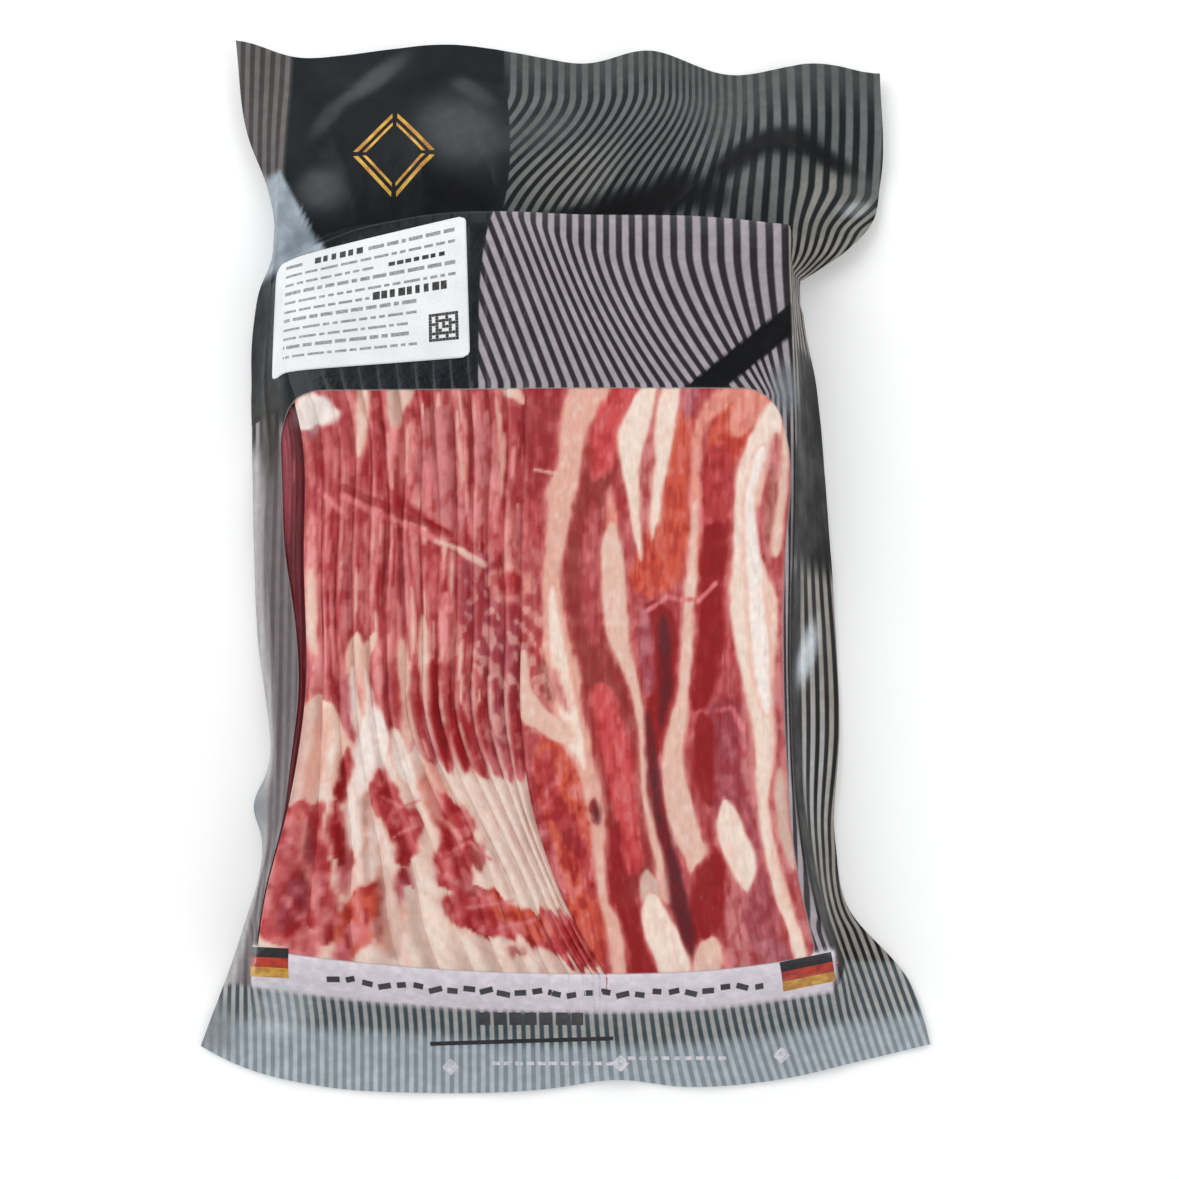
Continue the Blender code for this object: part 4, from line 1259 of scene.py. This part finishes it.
def streak_reach(x, y, points):
    """Distance beyond the side of a streak, below 0 inside it; its ends are rounded off."""
    points = sorted(points)
    middle = [(at, place) for at, place, half in points]
    slope = curve(middle, y + 0.5) - curve(middle, y - 0.5)
    low = points[0][0]
    high = points[-1][0]
    taper = min(6.0, 0.45 * (high - low))
    ends = np.clip((y - low) / taper, 0, 1) * np.clip((high - y) / taper, 0, 1)
    half = curve([(at, wide) for at, place, wide in points], y) * np.sqrt(1 - (1 - ends) ** 2)
    away = np.clip(np.maximum(low - y, y - high), 0, None)
    return np.abs(x - curve(middle, y)) / np.sqrt(1 + slope**2) - half + away


def streaked(colour, x, y, streaks):
    """Streaks painted in order; a salmon border lies where fat and lean meet."""
    for name, points in streaks:
        reach = streak_reach(x, y, points)
        fatty = name in ("white", "cream", "pale", "fat", "blush", "beige")
        if fatty:
            colour = lay(colour, "salmon", 0.62 * ease(0.5 - (reach - 0.6) / 2.6))
        else:
            on_fat = ease((colour[..., 1] - 0.55) / 0.15)
            colour = lay(colour, "salmon", 0.42 * on_fat * ease(0.5 - (reach - 1.1) / 3.4))
        colour = lay(colour, name, ease(0.5 - reach / (1.5 if fatty else 2.4)))
    return colour


def short_streaks(colour, local_x, y, number):
    """Short fine streaks scattered down one strip."""
    ruddy = ("pink", "pink", "deep", "rose", "crimson", "deep", "blush")
    paler = ("pink", "fat", "blush", "rose", "deep", "brick", "pink")
    for k in range(34):
        start = mix(-70, 44, chance(number, k, 41))
        length = mix(7, 26, chance(number, k, 42) ** 1.5)
        offset = mix(0.4, STRIP_WIDTH - 0.2, chance(number, k, 43))
        half = mix(0.25, 0.62, chance(number, k, 44))
        pale_part = number > 4 and -2 < start + length / 2 < 40
        tones = paler if pale_part else ruddy
        name = tones[int(7 * chance(number, k, 45))]
        strength = 0.4 if number < 5 and start > 0 else 0.95
        half = half * (1.35 if pale_part else 1.0)
        reach = streak_reach(local_x, y, ((start, offset, half), (start + length, offset + 0.3, half)))
        colour = lay(colour, name, strength * ease(0.5 - reach / 1.0))
    return colour


def paint_meat(x, y, number):
    """Colours of the meat at plan places; number is the strip's, or the strip count on the last slice."""
    on_strip = number < STRIP_COUNT
    fibre = slice_base(x, y) if on_strip else x - 0.3 * fan_splay(y)
    shift = 2.2 * (chance(number, 3, 21) - 0.5) if on_strip else 0.0
    fan = ease((-60 - y) / 8) if on_strip else 0.0 * y
    px = x + 0.45 * grain(fibre / 3, y / 9, 11) + 0.25 * grain(fibre / 1.4, y / 3.2, 12)
    px = px + fan * (0.8 * grain(x / 2.6, y / 4.4, 36) + 0.5 * grain(x / 1.3, y / 2.2, 37))
    py = y + shift + (0.9 + 1.3 * fan) * grain(fibre / 1.9, y / 5, 13)
    colour = np.tile(tone("lean"), x.shape + (1,))
    blotch = grain(fibre / 7, y / 16, 14) + 0.6 * grain(fibre / 3, y / 7, 15)
    colour = lay(colour, "deep", 0.5 * ease(blotch - 0.1))
    colour = lay(colour, "bright", 0.35 * ease(-blotch - 0.15))
    if on_strip:
        part = strip_place(x, y) - number
        local_x = np.clip(part, 0, 1) * STRIP_WIDTH
        colour = short_streaks(colour, local_x, y, number)
        seam = curve(FAT_SEAM, x) - FAT_SEAM_LOBE * (1 - (2 * np.clip(part, 0, 1) - 1) ** 2) + 2 + shift
        fat = ease((seam - y) / 1.8 + 0.5)
        colour = lay(colour, "pink", 0.6 * bell(seam - y, 1.6))
        colour = lay(colour, "pale", fat)
        rosy = grain(fibre / 5, y / 9, 18) + 0.5 * grain(fibre / 1.6, y / 6, 19)
        colour = lay(colour, "cream", fat * 0.7 * ease(rosy + 0.5))
        colour = lay(colour, "fat", fat * 0.5 * ease(-rosy - 0.1))
    colour = streaked(colour, px, py, STRIP_STREAKS if on_strip else WHOLE_STREAKS)
    if on_strip:
        rib = bell(part - 0.12, 0.22) * ease((-36 - y) / 10) * ease((y + 72) / 8) * ease((x + 50) / 8)
        colour = lay(colour, "beige", 0.8 * rib * ease(0.7 + grain(x / 4, y / 5, 38)))
    marbled = ease(1.6 - 1.2 * np.hypot((x + 17) / 17, (y + 34) / 30)) * (x < 6)
    along_fleck = y - 0.35 * x
    fleck = grain((x + 0.3 * y) / 1.5, along_fleck / 2.6, 25)
    fleck = fleck + 0.7 * grain((x - 0.2 * y) / 2.7, along_fleck / 4.1, 26)
    marbled = marbled * ease((0.52 - colour[..., 1]) / 0.1) * ease((2 - x) / 6)
    colour = lay(colour, "blush", 0.7 * marbled * ease(fleck * 2.4))
    colour = lay(colour, "deep", 0.55 * marbled * ease((-fleck - 0.25) * 2.4))
    # Painted highlight: the white glint at the window's far left corner, laid on the meat.
    corner = np.hypot((x + 70.4) / 7.0, (y - 33.6) / 5.2) + 0.25 * grain(x / 3, y / 3, 30)
    colour = lay(colour, "white", ease((1.15 - corner) / 0.4))
    spot = np.hypot(x + 15, y + 15)
    colour = lay(colour, "salmon", 0.7 * bell(spot - 4.2, 1.3))
    colour = lay(colour, "red", ease((3.8 - spot) / 1.4) if on_strip else 0.0 * x)
    wavy_y = y + 0.6 * grain(x / 5, y / 5, 27)
    for name, start, end, half in VEINS:
        distance, share = along(x, wavy_y, start, end)
        colour = lay(colour, name, 0.85 * ease(0.5 - (distance - half) / 0.9))
    strand = grain(fibre / 0.9, y / 9, 16) + 0.6 * grain(fibre / 0.5, y / 4, 17)
    cloud = grain(x / 2.4, y / 3.6, 28) + 0.6 * grain(x / 1.2, y / 2.0, 29)
    mottled = 1 + 0.9 * ease((-62 - y) / 8) * (x < 8)
    fatty = ease((colour[..., 1] - 0.42) / 0.3)
    lively = 1 - 0.9 * ease((0.64 - colour[..., 0]) / 0.14)
    lit = 0.26 * ease((strand - 0.2) * 1.6) + 0.3 * mottled * ease((cloud - 0.15) * 2)
    shaded = 0.3 * ease((-strand - 0.2) * 1.6) + 0.3 * mottled * ease((-cloud - 0.2) * 2)
    colour = lay(colour, "pink", lively * (1 - fatty) * lit)
    colour = lay(colour, "crimson", (1 - fatty) * shaded)
    colour = lay(colour, "salmon", 0.16 * fatty * ease((strand - 0.3) * 1.6))
    colour = lay(colour, "white", 0.3 * fatty * ease(cloud - 0.1))
    colour = lay(colour, "blush", 0.24 * fatty * ease(-cloud - 0.1))
    if on_strip:
        edge = 0.6 + 0.4 * grain(x / 5, y / 11, 22)
        # Painted highlight along the crest just behind each strip's lip, partly a thin pale fat edge.
        colour = lay(colour, "pink", 0.5 * (1 - fatty) * edge * bell(part - 0.22, 0.15))
        colour = lay(colour, "cream", 0.5 * fatty * edge * bell(part - 0.25, 0.2))
        # Painted shade in the valley before the next strip's lip, broken up in the upper strips and wider in
        # the fan.
        broken = mix(0.3 + 0.7 * ease(0.5 + 1.4 * grain(x / 4, y / 13, 39)), 1.0, ease((-26 - y) / 14))
        valley = edge * broken * bell(part - 0.88, mix(0.24, 0.36, fan))
        shade = np.array([0.21, 0.28, 0.29]) + (1 - fatty)[..., None] * np.array([0.04, 0.1, 0.08])
        shade = shade * (1 - 0.25 * fan[..., None])
        # Painted shade: putty-coloured bands on the fan's fat leading into each valley.
        putty = fan * fatty * ease((x + 46) / 8) * bell(part - 0.68, 0.22)
        colour = lay(colour, "putty", 0.45 * putty * ease(0.6 + grain(x / 4, y / 9, 40)))
        colour = colour * (1 - shade * valley[..., None])
    fine = 1 + 0.03 * grain(fibre / 0.7, y / 2, 23) + 0.02 * grain(x / 1.2, y / 1.2, 24)
    return np.clip(colour * fine[..., None], 0, 1)


def slice_rows():
    """Rows along the slices: fine in the window, coarser under the print."""
    end = ROWS_PRINT_Y + ROWS_PRINT_LENGTH + ROW_FINE
    return np.concatenate([
        np.arange(ROWS_START_Y, ROWS_PRINT_Y, ROW_FINE), np.arange(ROWS_PRINT_Y, end, ROW_COARSE),
    ])


def slices_end(rows, x):
    """Rows under the print squeezed so that each slice ends inside the far wall."""
    share = (rows - ROWS_PRINT_Y) / ROWS_PRINT_LENGTH
    under_print = mix(ROWS_PRINT_Y, block_back(x) - SLICES_IN_WALL, share)
    return np.where(rows > ROWS_PRINT_Y, under_print, rows)


def slice_gap(y):
    """How far the slices lie under the film: further where the print hides them."""
    return mix(0.2, 0.6, ease((y - 41) / 4)) + 2.6 * ease((y - 52) / 20)


def make_slices(material):
    """The shingled strips, each a slice of its own, and the last slice whole."""
    rows = slice_rows()[:, None]
    offsets = np.array([0, 0.2, 0.45, 0.9, 1.35, 1.9, 2.45, 3.0, 3.55, 4.1, STRIP_WIDTH, 5.4, 6.4])
    for number in range(STRIP_COUNT):
        start = STRIPS_LEFT_X + number * STRIP_WIDTH
        across = np.broadcast_to(start + offsets, (len(rows), len(offsets)))
        shown = np.broadcast_to(start + np.minimum(offsets, STRIP_WIDTH - 0.02), across.shape)
        y = slices_end(rows, across)
        x = across_slices(across, y)
        visible = across_slices(shown, y)
        z = film_height(visible, y) - slice_gap(y)
        first = across_slices(across[:, 0] + 0.01, y[:, 0])
        z[:, 0] = film_height(first, y[:, 0]) - slice_gap(y[:, 0])
        z[:, -2] -= 1.0
        z[:, -1] -= 1.4
        wave = 0.08 * grain(x / 3, y / 7, 31 + number)
        points = np.stack([x, y, z + wave * (offsets[None, :] > 0.3)], axis=-1)
        name = "slice_%02d" % (number + 1)
        slice_solid(name, points, STRIP_THICKNESS, material, paint_meat(visible, y, number))
    lip = LAST_SLICE_X + np.array([0.01, 0.2, 0.45, 0.9])
    rest = np.linspace(LAST_SLICE_X + 1.35, STRIPS_RIGHT_X + 1.1, 152)
    across = np.broadcast_to(np.concatenate([lip, rest]), (len(rows), 156))
    y = slices_end(rows, across)
    x = across_slices(across, y)
    z = film_height(x, y) - slice_gap(y) + 0.08 * grain(x / 4, y / 9, 45)
    points = np.stack([x, y, z], axis=-1)
    slice_solid("slice_top", points, WHOLE_THICKNESS, material, paint_meat(x, y, STRIP_COUNT))


def make_stack(material):
    """The slices below, one on another: their layered edges show down the left wall."""
    left_end = lambda y: mix(block_left(y), left_foot(y), STACK_LEFT_SHARE)
    right_end = lambda y: mix(block_right(y), right_foot(y), STACK_RIGHT_SHARE)
    front_end = lambda x: block_front(x) + STACK_FRONT_GAP
    back_end = lambda x: block_back(x) - STACK_BACK_GAP
    columns = stations(left_end, block_left, 36) + stations(block_left, block_right, 12)
    columns += stations(block_right, right_end, 8, True)
    rows = stations(front_end, back_end, 225, True)
    x, y = settle(columns, rows)
    outside, inward = outside_block(x, y)
    top = film_height(x, y, False)
    gap = mix(1.9, 0.45, ease(outside * 5))
    layer = (top + 0.5 * grain(x / 9, y / 12, 51)) / STACK_LAYER
    ridge = 0.3 * np.abs(np.sin(np.pi * layer)) * ease(outside * 5)
    upper = top - gap - ridge
    lower = np.minimum(underside(x, y) + 0.35 + 2.0 * ease(1 - inward / 4), upper - 0.15)
    streaky = ease(grain(layer * 1.3, y / 6, 52))
    # The wall is painted dark maroon, deepest up towards the block's top: partly the meat's own edge colour,
    # partly painted shade.
    colour = lay(np.tile(tone("maroon"), x.shape + (1,)), "deep", 0.4 * streaky)
    pale = ease(grain(np.floor(layer), y / 9, 53) * 1.6 - 0.3)
    colour = lay(colour, "rose", 0.7 * pale * np.abs(np.sin(np.pi * layer)) ** 2)
    colour = lay(colour, "maroon", 0.6 * ease((x - block_left(y) + 4) / 2) * (x < 0))
    colour = lay(colour, "plum", 0.75 * ease((block_left(y) - x - 2.2) / 3.5) * ease((y + 6) / 16))
    vertices, faces = closed_sheet(x, y, upper, lower)
    painted = linear(colour.reshape(-1, 3))
    # The lower face takes a darker copy of these colours as painted shade.
    fields = {"meat": np.concatenate([painted, painted * 0.7])}
    return new_piece("slice_stack", vertices, faces, material, fields)


def label_place(across, along_label):
    """Plan place on the label for shares across and along it."""
    near_left, near_right, far_right, far_left = LABEL_CORNERS
    x = mix(mix(near_left[0], near_right[0], across), mix(far_left[0], far_right[0], across), along_label)
    y = mix(mix(near_left[1], near_right[1], across), mix(far_left[1], far_right[1], across), along_label)
    return x, y


def label_height(x, y, lift):
    """Height over the film's crests, measured along the film's normal."""
    reach = 0.5
    slope_x = (film_height(x + reach, y, True) - film_height(x - reach, y, True)) / (2 * reach)
    slope_y = (film_height(x, y + reach, True) - film_height(x, y - reach, True)) / (2 * reach)
    return film_height(x, y, True) + lift * np.sqrt(1 + slope_x**2 + slope_y**2)


def make_label(material):
    """Sticker with rounded corners over the block's far left corner."""
    rows, columns = 56, 76
    v, u = np.meshgrid(np.linspace(0, 1, rows), np.linspace(0, 1, columns), indexing="ij")
    radius_u, radius_v = 0.035, 0.05
    cut = np.clip(radius_v - np.minimum(v, 1 - v), 0, radius_v) / radius_v
    inset = radius_u * (1 - np.sqrt(1 - cut**2))
    x, y = label_place(mix(inset, 1 - inset, u), v)
    vertices, faces = closed_sheet(x, y, label_height(x, y, LABEL_OVER), label_height(x, y, LABEL_UNDER))
    label = new_piece("label_sheet", vertices, faces, material)
    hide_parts("label")
    return label


def patch(place, height, lift, columns=6, rows=3):
    """Small printed patch: a grid of points that follows the surface under it."""
    v, u = np.meshgrid(np.linspace(0, 1, rows), np.linspace(0, 1, columns), indexing="ij")
    x, y = place(u, v)
    return np.stack([x, y, height(x, y) + lift], axis=-1)


def joined_patches(name, patches, material):
    """One piece from many small patches."""
    vertices = []
    faces = []
    start = 0
    for points in patches:
        rows, columns = points.shape[:2]
        vertices.append(points.reshape(-1, 3))
        faces += grid_faces(rows, columns, start=start).tolist()
        start += rows * columns
    piece = new_piece(name, np.concatenate(vertices), faces, material)
    return piece


def bar(centre, length, width, turn=0.0):
    """Plan of a straight bar, as shares along and across it."""
    def place(u, v):
        a = (u - 0.5) * length
        b = (v - 0.5) * width
        x = centre[0] + a * math.cos(turn) - b * math.sin(turn)
        y = centre[1] + a * math.sin(turn) + b * math.cos(turn)
        return x, y
    return place


def lozenge_ring(centre, half_x, half_y, width, start, end):
    """Part of a diamond-shaped ring, as shares along and across it."""
    def place(u, v):
        turn = mix(start, end, u)
        sideways = np.abs(np.cos(turn)) / (half_x - width * v)
        reach = 1 / (sideways + np.abs(np.sin(turn)) / (half_y - width * v))
        return centre[0] + reach * np.cos(turn), centre[1] + reach * np.sin(turn)
    return place


def make_print_marks():
    """Plain printed shapes: a gold diamond, dashes, stripe fields and dots."""
    dark = ink_material("Dark ink", "ink", "face_dark")
    white = ink_material("White ink", "flange", "band")
    gold = ink_material("Gold ink", "gold", "amber", 4.0)
    red = ink_material("Red ink", "flag_red", "deep", 3.0)
    yellow = ink_material("Yellow ink", "flag_gold", "amber", 5.0)
    lift = 0.06
    rings = []
    for half_x, half_y, width in ((12.5, 13.5, 1.5), (9.6, 10.4, 1.1)):
        for quarter in range(4):
            start = quarter * math.pi / 2 + 0.06
            place = lozenge_ring((-50, 114), half_x, half_y, width, start, start + math.pi / 2 - 0.12)
            rings.append(patch(place, film_height, lift, 16, 3))
    joined_patches("print_gold_diamond", rings, gold)
    dashes = []
    for number in range(26):
        x = -62 + number * 4.55
        length = 2.2 + 1.5 * chance(number, 5, 61)
        y = curve(WINDOW_NEAR, x) - 5.2 + 0.5 * math.sin(number * 1.7)
        dashes.append(patch(bar((x, y), length, 1.5, 0.25 * math.sin(number * 2.3)), film_height, lift))
    for number in range(7):
        x = -22 + number * 4.2
        dashes.append(patch(bar((x, -131.5), 3.2, 3.4), film_height, lift))
    dashes.append(patch(bar((-12, -137.6), 50, 1.1, 0.03), film_height, lift, 60, 3))
    joined_patches("print_dark_dashes", dashes, dark)
    pale = [patch(bar((-19 + 3.1 * number, -143.6), 2.1, 1.0), film_height, lift) for number in range(11)]
    pale += [patch(bar((18 + 3.1 * number, -142.2), 2.1, 1.0), film_height, lift) for number in range(9)]
    for x, y in ((-31.5, -144.6), (15, -143.6), (59, -141.5)):
        pale.append(patch(lozenge_ring((x, y), 2.4, 2.4, 2.3, 0, 2 * math.pi), film_height, lift, 24, 3))
    joined_patches("print_pale_dots", pale, white)
    fields = {"black": [], "red": [], "gold": []}
    for x, y, turn, length in ((-79.5, -116.5, -0.05, 11.5), (64.5, -119.0, 0.2, 14.0)):
        for key, step in (("black", 1), ("red", 0), ("gold", -1)):
            centre = (x - step * 2.6 * math.sin(turn), y + step * 2.6 * math.cos(turn))
            fields[key].append(patch(bar(centre, length, 2.6, turn), film_height, lift, 24, 6))
    joined_patches("print_black_stripe", fields["black"], dark)
    joined_patches("print_red_stripe", fields["red"], red)
    joined_patches("print_gold_stripe", fields["gold"], yellow)


def make_label_marks():
    """Rows of plain bars and small squares in place of the label's print."""
    pale_ink = ink_material("Grey ink", "grey_ink", "corner_grey", 0.8)
    bold_ink = ink_material("Label ink", "slate", "edge_dark", 0.8)
    fine = []
    bold = []

    def add(patches, u, v, length, width):
        def place(a, b):
            return label_place(u + length * a, v + width * b)
        columns = max(3, int(length * 60))
        patches.append(patch(place, lambda x, y: label_height(x, y, LABEL_OVER), 0.04, columns, 3))

    headings = ((0.22, 0.89, 6, 0.05), (0.52, 0.5, 9, 0.06), (0.6, 0.74, 7, 0.03))
    rows, first_row, row_step = 11, 0.9, 0.078
    skip_low, skip_high = 0.28, 0.34
    for row in range(rows):
        v = first_row - row * row_step
        if skip_low < v < skip_high:
            continue
        u = 0.07
        word = 0
        stop = 0.94 if v > 0.5 else 0.74
        while u < stop - 0.03:
            length = 0.02 + 0.07 * chance(row, word, 71)
            length = min(length, stop - u)
            beside = [start - length - 0.01 < u < start + 0.043 * count and abs(v - at) < 0.06
                      for start, at, count, width in headings]
            if not any(beside):
                add(fine, u, v, length, 0.02 if row % 3 else 0.028)
            u += length + 0.016
            word += 1
    for start, v, count, width in headings:
        for number in range(count):
            length = 0.022 + 0.014 * chance(number, count, 72)
            add(bold, start + 0.043 * number, v, length, width)
    for i in range(9):
        for j in range(9):
            ring = max(abs(i - 4), abs(j - 4))
            if ring in (4, 2, 0) or (i + j) % 3 == 0:
                add(bold, 0.8 + i * 0.0165, 0.13 + j * 0.0225, 0.0155, 0.021)
    joined_patches("label_fine_marks", fine, pale_ink)
    joined_patches("label_bold_marks", bold, bold_ink)


def make_floor():
    mesh = bpy.data.meshes.new("floor")
    corners = [(a * FLOOR_HALF, b * FLOOR_HALF, 0) for a, b in ((-1, -1), (1, -1), (1, 1), (-1, 1))]
    mesh.from_pydata(corners, [], [(0, 1, 2, 3)])
    material, tree, shader = new_material("Studio floor")
    wire(tree, shader, Base_Color=(0.93, 0.93, 0.93, 1), Roughness=0.9)
    shader.inputs["Specular IOR Level"].default_value = 0.1
    shader.inputs["Emission Color"].default_value = (1, 1, 1, 1)
    shader.inputs["Emission Strength"].default_value = 0.12
    mesh.materials.append(material)
    floor = bpy.data.objects.new("floor", mesh)
    bpy.context.scene.collection.objects.link(floor)


def area_light(name, place, size, power):
    """Soft square light aimed at the middle of the pack."""
    light = bpy.data.lights.new(name, "AREA")
    light.shape = "SQUARE"
    light.size = size
    light.energy = power
    lamp = bpy.data.objects.new(name, light)
    lamp.location = place
    lamp.rotation_euler = (-lamp.location).to_track_quat("-Z", "Y").to_euler()
    bpy.context.scene.collection.objects.link(lamp)


def make_studio():
    world = bpy.data.worlds.new("Studio")
    world.use_nodes = True
    background = world.node_tree.nodes["Background"]
    background.inputs["Color"].default_value = WORLD_COLOUR
    background.inputs["Strength"].default_value = WORLD_STRENGTH
    bpy.context.scene.world = world
    bpy.context.scene.view_settings.view_transform = "Standard"
    for light in LIGHTS:
        area_light(*light)


def make_camera():
    """Straight above the pack and tipped a little, at the photograph's distance."""
    data = bpy.data.cameras.new("camera")
    data.sensor_width = SENSOR
    data.lens = SENSOR * FOCAL_PIXELS / PHOTO_SIDE
    camera = bpy.data.objects.new("camera", data)
    camera.location = [size * MM for size in CAMERA_PLACE]
    camera.rotation_euler = (math.radians(CAMERA_TILT), 0, 0)
    bpy.context.scene.collection.objects.link(camera)
    bpy.context.scene.camera = camera


plan_x, plan_y, zone_ends_x, zone_ends_y = film_grid()
box_low, box_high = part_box("pouch")
PLAN_SHIFT = np.array([
    (box_low.x + box_high.x) / 2 / MM - (plan_x.min() + plan_x.max()) / 2,
    (box_low.y + box_high.y) / 2 / MM - (plan_y.min() + plan_y.max()) / 2,
    0.0,
])

clear_film = film_material("Window film", 0.36, 0.15)
printed_film = film_material("Printed film", 0.25, 0.4)
meat = meat_material()
film_pieces = make_film(plan_x, plan_y, zone_ends_x, zone_ends_y, clear_film, printed_film)
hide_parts("pouch")
make_lower_film(plan_x, plan_y, printed_film)
make_slices(meat)
make_stack(meat)
make_label(paper_material())
make_label_marks()
make_print_marks()
make_floor()
make_studio()
make_camera()
